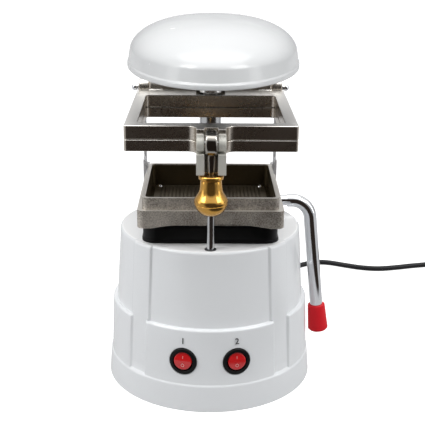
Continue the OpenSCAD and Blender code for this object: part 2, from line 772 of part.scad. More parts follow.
module lift_plates() {
    color("silver") difference() {
        for (s = [-1, 1]) {
            translate([s > 0 ? lift_x : -lift_x - lift_t, 0, 0]) {
                translate([0, yoke_y[0], pin_z - yoke_h]) cube([lift_t, yoke_y[1] - yoke_y[0], 2 * yoke_h]);
                translate([0, shank_y[0], pin_z]) cube([lift_t, shank_y[1] - shank_y[0], frame_z - pin_z]);
            }
            translate([s > 0 ? lift_x - 10 : -lift_x, shank_y[0], frame_z - tab_t])
                cube([10, shank_y[1] - shank_y[0], tab_t]);
        }
        // Slots that the crank pins slide in
        for (y = [pin_y - 0.2, shaft_y + crank_r + 0.2]) bar(slot_half_h, 200, [-100, y, pin_z]);
        translate([-100, pin_y - 0.2, pin_z - slot_half_h])
            cube([200, shaft_y + crank_r + 0.4 - pin_y, 2 * slot_half_h]);
        lift_screw_places() translate([0, 0, frame_z - tab_t - over]) cylinder(r = 1.6, h = tab_t + 2 * over);
    }
}

module lift_screws() {
    color("silver") lift_screw_places() {
        translate([0, 0, frame_z - tab_t]) cylinder(r = 1.5 - tiny, h = tab_t + 5);
        translate([0, 0, frame_z - tab_t - 1.6]) cylinder(r = 2.6, h = 1.6);
    }
}

module cranks() {
    color("silver") for (s = [-1, 1]) translate([s > 0 ? crank_x : -crank_x - crank_t, shaft_y, shaft_z])
        difference() {
            union() {
                bar(6.4, crank_t, [0, 0, 0]);
                rotate([crank_deg, 0, 0]) {
                    translate([0, 0, -4]) cube([crank_t, crank_r, 8]);
                    bar(5.4, crank_t, [0, crank_r, 0]);
                }
            }
            bar(lever_r + tiny, crank_t + 2 * over, [-over, 0, 0]);
            rotate([crank_deg, 0, 0]) bar(crank_pin_r + tiny, crank_t + 2 * over, [-over, crank_r, 0]);
        }
}

module crank_pins() {
    color("silver") for (s = [-1, 1]) mirror([s > 0 ? 0 : 1, 0, 0]) {
        bar(crank_pin_r, crank_t + lift_t + 1.6, [crank_x, pin_y, pin_z]);
        bar(crank_pin_r + 2, 1.5, [lift_x + lift_t + 0.5, pin_y, pin_z]);
    }
}

arm_turn = 90 - lever_lean;
bend_start_x = lever_corner_x - lever_bend_r * tan(arm_turn / 2);
arm_start = lever_bend_r * tan(arm_turn / 2);
grip_start = lever_len - grip_len;
rod_in_grip = 22;

module lever_rod() {
    color("silver") {
        bar(lever_r, bend_start_x + crank_x + crank_t, [-crank_x - crank_t, shaft_y, shaft_z]);
        translate([bend_start_x, shaft_y, shaft_z - lever_bend_r])
        rotate([90, 0, 0]) rotate([0, 0, lever_lean]) {
            rotate_extrude(angle = arm_turn) translate([lever_bend_r, 0]) circle(lever_r);
            translate([lever_bend_r, 0, 0]) rotate([90, 0, 0])
                cylinder(r = lever_r, h = grip_start + rod_in_grip - arm_start);
        }
    }
}

module lever_grip() {
    color("crimson") translate([lever_corner_x, shaft_y, shaft_z]) rotate([0, 180 - lever_lean, 0])
        translate([0, 0, grip_start]) difference() {
            rotate_extrude() polygon(concat([[0, 0]], arc(5.9, 0.8, 0.8, -90, 0, 3),
                arc(7.4, grip_len - 2.2, 2.2, 0, 90, 5), [[0, grip_len]]));
            translate([0, 0, -over]) cylinder(r = lever_r + tiny, h = rod_in_grip + over + tiny);
        }
}

// Upper frame and latch

module upper_frame() {
    color("tan") difference() {
        union() {
            translate([0, 0, upper_z]) linear_extrude(upper_t) difference() {
                frame_plan(hinge_y - hinge_lug_r - 2, upper_boss_y);
                // Room for the column and for the lower frame's hinge lugs
                translate([-notch_r, column_y - notch_r + notch_corner_r]) square([2 * notch_r, 60]);
                translate([-notch_r + notch_corner_r, column_y - notch_r])
                    square([2 * (notch_r - notch_corner_r), 60]);
                for (s = [-1, 1])
                    translate([s * (notch_r - notch_corner_r), column_y - notch_r + notch_corner_r])
                        circle(notch_corner_r);
            }
            translate([-boss_half_w, latch_y, upper_z]) cube([2 * boss_half_w, 6, latch_z + ear_r - upper_z]);
            bar(ear_r, 2 * boss_half_w, [-boss_half_w, latch_y, latch_z]);
            for (s = [-1, 1]) translate([s > 0 ? hinge_in[0] : -hinge_in[1], 0, 0]) {
                translate([0, hinge_y - hinge_lug_r - 4, upper_z])
                    cube([hinge_in[1] - hinge_in[0], hinge_lug_r + 4, hinge_z - upper_z]);
                bar(hinge_lug_r, hinge_in[1] - hinge_in[0], [0, hinge_y, hinge_z]);
            }
        }
        translate([-slot_half_w, latch_y - 20, upper_z - 20])
            cube([2 * slot_half_w, slot_back_y - latch_y + 20, 60]);
        bar(latch_pin_r + tiny, 200, [-100, latch_y, latch_z]);
        bar(hinge_pin_r + run, 200, [-100, hinge_y, hinge_z]);
    }
}

ball_r = 3.2;
ball_x = 72.4;

module hinge_pins() {
    color("silver") for (s = [-1, 1]) mirror([s > 0 ? 0 : 1, 0, 0]) {
        bar(hinge_pin_r, ball_x - hinge_in[0] + 1.5, [hinge_in[0] - 1.5, hinge_y, hinge_z]);
        translate([ball_x, hinge_y, hinge_z]) sphere(ball_r);
        bar(hinge_pin_r + 1.2, 1, [hinge_out[1] + 0.3, hinge_y, hinge_z]);
    }
}

latch_pin_r = 2.5;

module latch_pin() {
    color("silver") bar(latch_pin_r, 2 * boss_half_w - 0.4, [0.2 - boss_half_w, latch_y, latch_z]);
}

eye_r = 10;
eye_half_w = 4.85;
bolt_r = 3;
knob_gap = 0.8;
knob_top_z = fork_z - knob_gap;
knob_z = knob_top_z - knob_len;
bolt_end_z = knob_z + 2.6;
eye_round = 2;

module swing_bolt() {
    color("silver") difference() {
        union() {
            translate([0, latch_y, latch_z]) rotate([0, 90, 0])
            rotate_extrude() polygon(concat([[0, -eye_half_w]],
                arc(eye_r - eye_round, -eye_half_w + eye_round, eye_round, -90, 0),
                arc(eye_r - eye_round, eye_half_w - eye_round, eye_round, 0, 90), [[0, eye_half_w]]));
            translate([0, latch_y, latch_z - 24]) cylinder(r1 = bolt_r + 0.5, r2 = eye_half_w, h = 18);
            translate([0, latch_y, bolt_end_z]) cylinder(r = bolt_r, h = latch_z - 20 - bolt_end_z);
        }
        bar(latch_pin_r + run, 40, [-20, latch_y, latch_z]);
    }
}

module knob() {
    neck_r = 0.68 * knob_r;
    flange_r = 0.79 * knob_r;
    belt_z = 0.39 * knob_len;
    color("gold") translate([0, latch_y, knob_z]) difference() {
        rotate_extrude() polygon(concat([[0, 0], [0.3 * knob_r, 0]],
            arc(0, belt_z - 2, knob_r - 0.6, -66, 0, 8),
            [[knob_r, belt_z - 1], [knob_r, belt_z + 2], [knob_r - 1.2, belt_z + 2.6]],
            arc(neck_r + 10, belt_z + 12, 10, 238, 180, 6),
            [[neck_r, knob_len - 5], [flange_r - 0.8, knob_len - 3.4], [flange_r, knob_len - 2.4],
                [flange_r, knob_len - 0.5], [flange_r - 0.5, knob_len], [0, knob_len]]));
        translate([0, 0, 2]) cylinder(r = bolt_r + run, h = knob_len);
    }
}

// Heater head

head_top_h = crown_z - shoulder_z;
wall_s = 0.975;
around = 72;
rise = 12;

// A point of the head's egg-shaped outline, drawn in by inset and scaled by s
function egg(t, s, inset = 0) = let (b = cos(t) < 0 ? head_front : head_rear)
    [(head_half_w - inset) * s * sin(t), head_y + (b - inset) * s * cos(t)];
// The dome follows (s / wall_s)^3 + (height / head_top_h)^2 = 1 above the shoulder
function dome_ring(k) = let (a = 90 * k / rise)
    [wall_s * pow(cos(a), 2 / 3), shoulder_z + head_top_h * sin(a)];
outer_rings = concat([[1, head_z], [1, head_z + lip_h - 1], [0.988, head_z + lip_h]],
    [for (k = [0:rise - 1]) dome_ring(k)]);
inner_rings = concat([[0.988, head_z]], [for (k = [0:rise - 1]) dome_ring(k) - [0, head_wall]]);

module head_shell() {
    n_out = len(outer_rings);
    n_in = len(inner_rings);
    function at(i, k) = i * around + k % around;
    color("whitesmoke") polyhedron(
        concat([for (r = outer_rings, k = [0:around - 1])
                let (p = egg(360 * k / around, r[0])) [p[0], p[1], r[1]]],
            [for (r = inner_rings, k = [0:around - 1])
                let (p = egg(360 * k / around, r[0], head_wall)) [p[0], p[1], r[1]]],
            [[0, head_y, crown_z], [0, head_y, crown_z - head_wall]]),
        concat(
            [for (i = [0:n_out - 2], k = [0:around - 1])
                each [[at(i, k), at(i + 1, k), at(i + 1, k + 1)],
                    [at(i, k), at(i + 1, k + 1), at(i, k + 1)]]],
            [for (i = [n_out:n_out + n_in - 2], k = [0:around - 1])
                each [[at(i, k), at(i + 1, k + 1), at(i + 1, k)],
                    [at(i, k), at(i, k + 1), at(i + 1, k + 1)]]],
            [for (k = [0:around - 1])
                each [[at(0, k), at(0, k + 1), at(n_out, k + 1)],
                    [at(0, k), at(n_out, k + 1), at(n_out, k)]]],
            [for (k = [0:around - 1]) [at(n_out - 1, k), (n_out + n_in) * around, at(n_out - 1, k + 1)]],
            [for (k = [0:around - 1])
                [at(n_out + n_in - 1, k), at(n_out + n_in - 1, k + 1), (n_out + n_in) * around + 1]]));
}

base_z = head_z + 3.2;
base_t = 1.6;
hub_r = 16;
hub_flange_r = 24;
hub_top_z = column_top_z + 4;
window_y = -12;
window_r = 50;
pillar_r = 4.5;
head_screw_at = [[-60, 40], [60, 40], [-22, 88], [22, 88], [-36, -62], [36, -62]];

// How far out a point of the plan lies on the shell's inner egg, and the ceiling's height there
function egg_s(x, y) = let (b = y < head_y ? head_front : head_rear)
    norm([x / (head_half_w - head_wall), (y - head_y) / (b - head_wall)]);
function ceiling_z(x, y) = shoulder_z - head_wall + head_top_h * sqrt(1 - pow(egg_s(x, y) / wall_s, 3));
function pillar_top(p) = min([for (a = [0:15:345])
    ceiling_z(p[0] + pillar_r * cos(a), p[1] + pillar_r * sin(a))]) - 0.25;

module head_base_plate() {
    color("gray") translate([0, 0, base_z]) difference() {
        linear_extrude(base_t) difference() {
            polygon([for (k = [0:around - 1]) egg(360 * k / around, 0.982, head_wall + 0.3)]);
            translate([0, window_y]) circle(window_r);
            translate([0, column_y]) circle(hub_r + tiny);
            for (p = head_screw_at) translate(p) circle(1.7, $fn = 32);
        }
    }
}

module head_pillars() {
    color("whitesmoke") for (p = head_screw_at) difference() {
        translate([p[0], p[1], base_z + base_t]) cylinder(r = pillar_r, h = pillar_top(p) - base_z - base_t);
        translate([p[0], p[1], base_z]) cylinder(r = 1.5, h = 10);
    }
}

module head_screws() {
    color("silver") for (p = head_screw_at) translate([p[0], p[1], base_z - 1.4]) {
        cylinder(r = 3, h = 1.4);
        cylinder(r = 1.5 - tiny, h = 9);
    }
}

module head_hub() {
    color("dimgray") translate([0, column_y, 0]) difference() {
        union() {
            translate([0, 0, collar_z + collar_h + clear])
                cylinder(r = hub_r, h = hub_top_z - collar_z - collar_h - clear);
            translate([0, 0, base_z + base_t]) cylinder(r = hub_flange_r, h = 4);
        }
        translate([0, 0, collar_z]) cylinder(r = column_r + run, h = column_top_z + clear - collar_z);
    }
}

module heat_reflector() {
    color("silver") translate([0, window_y, base_z + base_t]) rotate_extrude() polygon([[window_r - 2, 0],
        [window_r + 3, 0], [window_r + 3, 1.2], [window_r - 1, 1.2], [window_r - 6, 17], [0, 17],
        [0, 15.8], [window_r - 7, 15.8]]);
}

element_r = 3.2;
element_z = base_z + 5;
loop_gap = 17;
loop_half = 27;
post_r = 5.2;

// A tubular heater bent into four parallel runs
module heater_element() {
    color("darkred") translate([0, window_y, element_z]) {
        for (i = [0:3]) translate([(i - 1.5) * loop_gap, loop_half - (i % 3 == 0 ? 10 : 0), 0])
            rotate([90, 0, 0]) cylinder(r = element_r, h = 2 * loop_half - (i % 3 == 0 ? 10 : 0));
        for (i = [0, 2]) translate([(i - 1) * loop_gap, -loop_half, 0]) rotate([0, 0, 180])
            rotate_extrude(angle = 180) translate([loop_gap / 2, 0]) circle(element_r);
        translate([0, loop_half, 0]) rotate_extrude(angle = 180)
            translate([loop_gap / 2, 0]) circle(element_r);
        for (s = [-1, 1]) translate([s * 1.5 * loop_gap, loop_half - 10, 0]) {
            sphere(element_r);
            cylinder(r = element_r, h = 12);
        }
    }
}

module element_posts() {
    color("ivory") translate([0, window_y, 0])
    for (x = [-loop_gap, loop_gap], y = [-loop_half + 6, loop_half - 14])
        translate([x, y, element_z - 1]) cylinder(r = post_r, h = base_z + base_t + 15.8 - element_z + 1);
}

housing();
bottom_plate();
rubber_pads();
base_screws();
motor_cradle();
vacuum_motor();
suction_duct();
plinth();
tray();
perforated_plate();
plate_screws();
column();
column_socket();
column_collar();
rod_bushing();
shaft_bearings();
bearing_screws();
switch_body_left();
switch_body_right();
rocker_left();
rocker_right();
cord_gland();
cord_free();
cord_coil();
plug();
lower_frame();
column_bushing();
front_rod();
lift_plates();
lift_screws();
hinge_pins();
upper_frame();
latch_pin();
swing_bolt();
knob();
lever_rod();
cranks();
crank_pins();
lever_grip();
head_shell();
head_base_plate();
head_pillars();
head_screws();
head_hub();
heat_reflector();
heater_element();
element_posts();
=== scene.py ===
"""Dental vacuum former: moulded housing, suction tray, clamp frames, lift lever and heater head."""
import math
from functools import partial

import bmesh
import bpy
from mathutils import Matrix, Vector


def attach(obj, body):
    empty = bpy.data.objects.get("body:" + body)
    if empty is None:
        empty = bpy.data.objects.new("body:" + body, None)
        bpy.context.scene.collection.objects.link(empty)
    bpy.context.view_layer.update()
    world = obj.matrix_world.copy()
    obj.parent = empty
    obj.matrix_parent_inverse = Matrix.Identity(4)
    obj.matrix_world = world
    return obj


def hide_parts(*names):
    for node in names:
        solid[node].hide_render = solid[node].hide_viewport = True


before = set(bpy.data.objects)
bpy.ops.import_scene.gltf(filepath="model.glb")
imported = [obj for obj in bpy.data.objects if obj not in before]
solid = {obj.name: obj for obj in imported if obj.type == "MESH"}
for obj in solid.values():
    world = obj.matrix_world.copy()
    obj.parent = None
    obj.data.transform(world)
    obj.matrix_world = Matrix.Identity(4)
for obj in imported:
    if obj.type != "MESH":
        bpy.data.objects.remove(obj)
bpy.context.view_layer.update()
MM = 0.001


# Camera
# The photograph was taken from just left of the middle, looking down at the front.
# The frame is square, and the lens is that of the 36 mm wide picture.
CAMERA_PLACE = (-4.787 * MM, -801.989 * MM, 405.76 * MM)
CAMERA_LENS = 79.006
LOOK_DOWN = 17.676
LOOK_RIGHT = 0.492
ROLL = 0.405

camera_data = bpy.data.cameras.new("camera")
camera_data.lens = CAMERA_LENS
camera_data.sensor_width = 36
camera_data.clip_start = 0.02
camera_data.clip_end = 20
camera = bpy.data.objects.new("camera", camera_data)
bpy.context.scene.collection.objects.link(camera)
camera.matrix_world = (
    Matrix.Translation(CAMERA_PLACE)
    @ Matrix.Rotation(-math.radians(LOOK_RIGHT), 4, "Z")
    @ Matrix.Rotation(math.radians(90 - LOOK_DOWN), 4, "X")
    @ Matrix.Rotation(math.radians(ROLL), 4, "Z")
)
bpy.context.scene.camera = camera
bpy.context.scene.view_settings.view_transform = "Standard"


# Power cord
# A black round mains lead: out of the housing's back, down to the table and away to the right.
# What the photograph doesn't show of it is put away as one neat coil, just outside the view.
CORD_R = 3.0
CORD_EXIT = (30, 115.865, 33)
CORD_REACH = [
    (30, 125.865, 32.4), (31, 136, 26), (33, 152, 16), (37, 168, 7), (43, 184, 3), (53, 202, 3),
    (67, 221, 3), (86, 238, 3), (106, 250, 3), (120, 259, 3), (134, 264, 3), (148, 262, 3),
    (165, 254, 3), (184, 246, 3), (204, 243, 3), (225, 247, 3), (246, 253, 3), (268, 258, 3),
    (290, 261, 3), (304, 262, 3), (313, 262, 3),
]
COIL_IN_R = 27.0
COIL_PITCH = 6.8
COIL_IN_TURNS = 2.5
COIL_OUT_TURNS = 2.25
COIL_LAYER = 6.7
COIL_STEPS = 36
PLUG_LEAD = [(0.7, -8), (3, -16), (8, -24), (15, -30), (24, -33.4), (34, -34.4), (44, -34.4)]


def smooth(t):
    """A soft step from 0 to 1."""
    t = min(max(t, 0.0), 1.0)
    return t * t * (3 - 2 * t)


def through(points, parts):
    """Points of a smooth line through the given ones."""
    line = []
    last = len(points) - 1
    for i in range(last):
        a, b = Vector(points[max(i - 1, 0)]), Vector(points[i])
        c, d = Vector(points[i + 1]), Vector(points[min(i + 2, last)])
        for k in range(parts):
            t = k / parts
            line.append(0.5 * (2 * b + (c - a) * t + (2 * a - 5 * b + 4 * c - d) * t * t
                               + (3 * b - a - 3 * c + d) * t ** 3))
    line.append(Vector(points[-1]))
    return line


def coil_line():
    """The coil: a flat spiral in, half a turn up and a spiral out, then away to the plug."""
    start = Vector(CORD_REACH[-1])
    turning = COIL_IN_TURNS + 0.25
    outer = COIL_IN_R + COIL_PITCH * (turning - 0.25)
    middle = start + Vector((2 * CORD_R, -outer, 0))
    turns = COIL_IN_TURNS + 0.5 + COIL_OUT_TURNS
    line = [start + Vector((1.2 * CORD_R, 0, 0))]
    for i in range(int(turns * COIL_STEPS) + 1):
        u = i / COIL_STEPS
        r = COIL_IN_R + COIL_PITCH * (abs(u - turning) - 0.25)
        angle = math.radians(90 - 360 * u)
        rise = COIL_LAYER * smooth((u - COIL_IN_TURNS) / 0.5)
        line.append(middle + Vector((r * math.cos(angle), r * math.sin(angle), rise)))
    return line + [line[-1] + Vector((x, y, 0)) for x, y in PLUG_LEAD]


def link_piece(name, data, body, material, replaced=()):
    """Puts a new piece in the scene, parents it to its body and hides the parts it replaces."""
    piece = bpy.data.objects.new(name, data)
    bpy.context.scene.collection.objects.link(piece)
    data.materials.clear()
    data.materials.append(material)
    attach(piece, body)
    if replaced:
        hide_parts(*replaced)
    return piece


def feed(tree, socket, value):
    """Sets an input to a value, or links it to another node's output."""
    if isinstance(value, bpy.types.NodeSocket):
        tree.links.new(value, socket)
    elif socket.type == "RGBA" and len(value) == 3:
        socket.default_value = (*value, 1)
    else:
        socket.default_value = value


def add_node(tree, kind, inputs=None, **settings):
    """A shader node with its settings, and with its named inputs fed."""
    node = tree.nodes.new("ShaderNode" + kind)
    for name, value in settings.items():
        setattr(node, name, value)
    for label, value in (inputs or {}).items():
        feed(tree, node.inputs[label], value)
    return node


def new_material(name, colour, roughness, metallic=0.0, coat=0.0, specular=0.5):
    """A Principled material, with its node tree and shader at hand."""
    material = bpy.data.materials.new(name)
    material.use_nodes = True
    tree = material.node_tree
    shader = tree.nodes["Principled BSDF"]
    for label, value in (("Base Color", colour), ("Roughness", roughness), ("Metallic", metallic),
                         ("Coat Weight", coat), ("Specular IOR Level", specular)):
        feed(tree, shader.inputs[label], value)
    return material, tree, shader


def surface_group(name, inputs):
    """A finish as a node group: its own inputs, then two tones and a gloss range."""
    group = bpy.data.node_groups.new(name, "ShaderNodeTree")
    tones = [("Gloss Low", "Float", 0.2), ("Gloss High", "Float", 0.3),
             ("Colour A", "Color", (0.8, 0.8, 0.8, 1)), ("Colour B", "Color", (0.7, 0.7, 0.7, 1))]
    for label, kind, value in inputs + tones:
        socket = group.interface.new_socket(label, in_out="INPUT", socket_type="NodeSocket" + kind)
        socket.default_value = value
    for label, kind in (("Colour", "Color"), ("Roughness", "Float"), ("Height", "Float")):
        group.interface.new_socket(label, in_out="OUTPUT", socket_type="NodeSocket" + kind)
    return group, group.nodes.new("NodeGroupInput").outputs


def close_group(group, given, share, height, low=0.3, high=0.7):
    """Ends a finish: the share mixes its two tones and runs through its gloss range."""
    tint = add_node(group, "Mix", {"Factor": share, "A": given["Colour A"], "B": given["Colour B"]},
                    data_type="RGBA")
    gloss = add_node(group, "MapRange", {"Value": share, "From Min": low, "From Max": high,
                                         "To Min": given["Gloss Low"], "To Max": given["Gloss High"]})
    group_out = group.nodes.new("NodeGroupOutput").inputs
    group.links.new(tint.outputs["Result"], group_out["Colour"])
    group.links.new(gloss.outputs["Result"], group_out["Roughness"])
    group.links.new(height, group_out["Height"])


def surface_material(group, name, colour, shade, gloss, grain, depth, **shader_values):
    """A material of one finish: two tones, a gloss range, and how fine and deep its grain is."""
    material, tree, shader = new_material(name, colour, gloss[0], **shader_values)
    surface = add_node(tree, "Group", {"Grain": grain, "Gloss Low": gloss[0], "Gloss High": gloss[1],
                                       "Colour A": colour, "Colour B": shade}, node_tree=group)
    bump = add_node(tree, "Bump", {"Distance": depth, "Height": surface.outputs["Height"]})
    tree.links.new(surface.outputs["Colour"], shader.inputs["Base Color"])
    tree.links.new(surface.outputs["Roughness"], shader.inputs["Roughness"])
    tree.links.new(bump.outputs["Normal"], shader.inputs["Normal"])
    return material


# Moulded surface, for plastic and rubber: a fine ripple, patches that shine less, and a light tint
moulded, given = surface_group("moulded_surface", [("Grain", "Float", 400.0), ("Patch Scale", "Float", 25.0)])
place = add_node(moulded, "TexCoord").outputs["Object"]
ripple = add_node(moulded, "TexNoise", {"Vector": place, "Scale": given["Grain"], "Detail": 3})
patch = add_node(moulded, "TexNoise", {"Vector": place, "Scale": given["Patch Scale"], "Detail": 4,
                                       "Roughness": 0.6})
close_group(moulded, given, patch.outputs["Fac"], ripple.outputs["Fac"])
moulded_material = partial(surface_material, moulded)

cord_sheath = moulded_material("cord_sheath", (0.006, 0.006, 0.007), (0.012, 0.012, 0.013), (0.38, 0.55),
                               900, 0.00002, specular=0.25)
cord_line = bpy.data.curves.new("power_cord", "CURVE")
cord_line.dimensions = "3D"
cord_line.bevel_depth = CORD_R * MM
cord_line.bevel_resolution = 5
cord_line.use_fill_caps = True
cord_points = through([CORD_EXIT] + CORD_REACH, 4) + coil_line()
spline = cord_line.splines.new("POLY")
spline.points.add(len(cord_points) - 1)
for point, spot in zip(spline.points, cord_points):
    point.co = (spot.x * MM, spot.y * MM, max(spot.z, CORD_R) * MM, 1)
power_cord = link_piece("power_cord", cord_line, "base", cord_sheath, ("cord_free", "cord_coil"))

# Studio
# A white table in a pale room that is dark low down on the camera's side, as polished metal shows it.
# Two soft lamps stand high in front, one broad one hangs overhead and two weak ones light the sides.
# The table's dark part, as metal mirrors it, is a wedge that opens towards the camera.
WHITE = (1.0, 1.0, 1.0)
TABLE_WHITE = 0.45
TABLE_GLOW = 0.9
TABLE_SHEEN = (0.66, 0.66, 0.67)
WEDGE_X = 0.3
WEDGE_SLOPE = 0.75
WEDGE_EDGE = (-0.03, 0.03)
ROOM_LIGHT = 0.34
ROOM_TINT = (0.97, 0.985, 1.0)
SIDE_DARK = (0.42, 0.42, 0.43)
FRONT_DARK = (0.03, 0.022, 0.018)


def share_between(tree, value, low, high):
    """0 below the low value and 1 above the high one, with a smooth change between."""
    return add_node(tree, "MapRange", {"Value": value, "From Min": low, "From Max": high},
                    interpolation_type="SMOOTHSTEP").outputs["Result"]


def ramp(tree, value, low, high, dark, light):
    """A colour that changes smoothly from dark to light while the value goes from low to high."""
    share = share_between(tree, value, low, high)
    return add_node(tree, "Mix", {"Factor": share, "A": dark, "B": light}, data_type="RGBA").outputs["Result"]


def calculate(tree, operation, *values):
    """The result of a Math node."""
    return add_node(tree, "Math", dict(enumerate(values)), operation=operation).outputs["Value"]


def show_to(tree, surface, *rays):
    """The surface, with another one in its place for each kind of ray."""
    for share, seen in rays:
        surface = add_node(tree, "MixShader", {"Fac": share, 1: surface, 2: seen}).outputs["Shader"]
    return surface


def room(colour, strength=1.0):
    """The light that comes from all round."""
    return add_node(sky, "Background", {"Color": colour, "Strength": strength}).outputs["Background"]


world = bpy.data.worlds.new("studio")
bpy.context.scene.world = world
world.use_nodes = True
sky = world.node_tree
sky.nodes.clear()
split = add_node(sky, "SeparateXYZ", {"Vector": add_node(sky, "TexCoord").outputs["Generated"]}).outputs
side_walls = ramp(sky, split["Z"], 0.05, 0.6, SIDE_DARK, WHITE)
front_wall = ramp(sky, split["Z"], 0.5, 0.82, FRONT_DARK, WHITE)
walls = ramp(sky, split["Y"], -0.84, -0.62, front_wall, side_walls)
ray = add_node(sky, "LightPath").outputs
shiny = calculate(sky, "MAXIMUM", ray["Is Glossy Ray"], ray["Is Transmission Ray"])
surface = show_to(sky, room(ROOM_TINT, ROOM_LIGHT), (shiny, room(walls)), (ray["Is Camera Ray"], room(WHITE)))
add_node(sky, "OutputWorld", {"Surface": surface})

table_mesh = bpy.data.meshes.new("table")
table_mesh.from_pydata([(-4, -1.2, 0), (4, -1.2, 0), (4, 5, 0), (-4, 5, 0)], [], [(0, 1, 2, 3)])
table = bpy.data.objects.new("table", table_mesh)
bpy.context.scene.collection.objects.link(table)
table_white, tree, shader = new_material("table_white", (TABLE_WHITE,) * 3, 0.9, specular=0.0)
split = add_node(tree, "SeparateXYZ", {"Vector": add_node(tree, "TexCoord").outputs["Object"]}).outputs
glow = add_node(tree, "Emission", {"Strength": TABLE_GLOW}).outputs["Emission"]
glowing = add_node(tree, "AddShader", {0: shader.outputs["BSDF"], 1: glow}).outputs["Shader"]
aside = calculate(tree, "ABSOLUTE", calculate(tree, "SUBTRACT", split["X"], WEDGE_X))
ahead = calculate(tree, "MULTIPLY_ADD", aside, WEDGE_SLOPE, split["Y"])
sheen = ramp(tree, ahead, *WEDGE_EDGE, FRONT_DARK, TABLE_SHEEN)
mirrored = add_node(tree, "Emission", {"Color": sheen}).outputs["Emission"]
ray = add_node(tree, "LightPath").outputs
surface = show_to(tree, shader.outputs["BSDF"], (ray["Is Camera Ray"], glowing),
                  (ray["Is Glossy Ray"], mirrored))
tree.links.new(surface, tree.nodes["Material Output"].inputs["Surface"])
table_mesh.materials.append(table_white)

LAMPS = [
    ("overhead", (0.0, 0.0, 2.6), (3.0, 3.0), 50.0, True),
    ("high_left", (-1.6, -0.7, 1.9), (1.0, 1.0), 20.0, True),
    ("high_right", (1.6, -0.7, 1.9), (1.0, 1.0), 17.0, True),
    ("left_side", (-1.6, -0.2, 0.7), (0.6, 1.3), 3.8, True),
    ("right_side", (1.6, -0.2, 0.7), (0.6, 1.3), 4.0, True),
    ("front_fill", (-0.3, -2.2, 1.3), (1.2, 0.8), 1.2, False),
]
for name, spot, size, power, in_mirrors in LAMPS:
    lamp_data = bpy.data.lights.new(name, "AREA")
    lamp_data.shape = "RECTANGLE"
    lamp_data.size, lamp_data.size_y = size
    lamp_data.energy = power
    lamp = bpy.data.objects.new(name, lamp_data)
    bpy.context.scene.collection.objects.link(lamp)
    lamp.location = spot
    lamp.rotation_euler = (Vector((0, 0, 0.15)) - Vector(spot)).to_track_quat("-Z", "Y").to_euler()
    lamp.visible_glossy = in_mirrors


# Housing
# One tall moulding in white ABS: a foot ring, four stepped blocks round the lower half and four
# pilasters up its corners. All its outer edges are rounded, and the deck on top is flat.
RING_R = 93.2
RING_TOP_R = 91.4
RING_H = 25.0
RING_ROUND = 3.2
BLOCK_R = (90.2, 88.4)
LEDGE_Z = 74.0
PANEL_R = (84.6, 80.6)
PILASTER_R = (89.0, 82.7)
DECK_Z = 141.0
EDGE_ROUND = 2.8
LEDGE_ROUND = 2.0
BLOCK_HALF = 39.0
PILASTER_HALF = 7.5
STEP_HALF = 0.75
DUCT_Y = -7.0
COLUMN_Y = 67.5
ROD_Y = -72.8
SHAFT_Y = 51.5
SWITCH_Z = 45.2
SWITCH_TURN = 14.775
SWITCH_FACE_R = 88.3
BEZEL_R = 12.0
GLAND = (30.0, 83.865, 33.0)
INSIDE = [(89.3, 0), (89.3, 21), (83.0, 27), (81.0, LEDGE_Z), (79.0, 108), (72, 120)]
PAINTED_DECK_LIGHT = (0.96, 0.965, 0.97)


def arc(cx, cz, r, a0, a1, n):
    """Points of an arc in the plane of a profile."""
    return [(cx + r * math.cos(math.radians(a0 + (a1 - a0) * i / n)),
             cz + r * math.sin(math.radians(a0 + (a1 - a0) * i / n))) for i in range(n + 1)]


def steps(a, b, n, ends=False):
    """n points on the straight line from a to b, without its two ends."""
    points = []
    for i in range(1, n + 1):
        points.append((a[0] + (b[0] - a[0]) * i / (n + 1), a[1] + (b[1] - a[1]) * i / (n + 1)))
    return [a] + points + [b] if ends else points


def polar(r, degrees):
    """The point at that distance and angle from the middle."""
    return r * math.cos(math.radians(degrees)), r * math.sin(math.radians(degrees))

def bridge(grid, rings, closed=True):
    """Faces between neighbouring rings of vertices."""
    for low, high in zip(rings, rings[1:]):
        n = len(low)
        for k in range(n if closed else n - 1):
            j = (k + 1) % n
            grid.faces.new((low[k], low[j], high[j], high[k]))


def final_mesh(piece):
    """The mesh of a piece, with its modifiers applied."""
    bpy.context.view_layer.update()
    return bpy.data.meshes.new_from_object(piece.evaluated_get(bpy.context.evaluated_depsgraph_get()))


def cut_mesh(mesh, cutter_mesh):
    """The mesh with the cutter's volume taken out of it."""
    target = bpy.data.objects.new("target", mesh)
    cutter = bpy.data.objects.new("cutter", cutter_mesh)
    for o in (target, cutter):
        bpy.context.scene.collection.objects.link(o)
    cut = target.modifiers.new("cut", "BOOLEAN")
    cut.operation = "DIFFERENCE"
    cut.solver = "EXACT"
    cut.object = cutter
    result = final_mesh(target)
    for o in (target, cutter):
        bpy.data.objects.remove(o)
    return result


def smooth_by_angle(mesh, degrees):
    """Smooth shading, with the edges that are sharper than the angle kept sharp."""
    grid = bmesh.new()
    grid.from_mesh(mesh)
    limit = math.radians(degrees)
    for face in grid.faces:
        face.smooth = True
    for edge in grid.edges:
        edge.smooth = len(edge.link_faces) == 2 and edge.calc_face_angle(0) < limit
    grid.to_mesh(mesh)
    grid.free()


def add_cylinder(grid, r, length, matrix):
    """A cylinder that starts at the matrix's place and runs along its Z."""
    bmesh.ops.create_cone(grid, cap_ends=True, segments=48, radius1=r, radius2=r, depth=length,
                          matrix=matrix @ Matrix.Translation((0, 0, length / 2)))


def add_box(grid, low, high):
    """A box between two corners."""
    size = Vector(high) - Vector(low)
    middle = (Vector(high) + Vector(low)) / 2
    bmesh.ops.create_cube(grid, size=1, matrix=Matrix.Translation(middle) @ Matrix.Diagonal((*size, 1)))


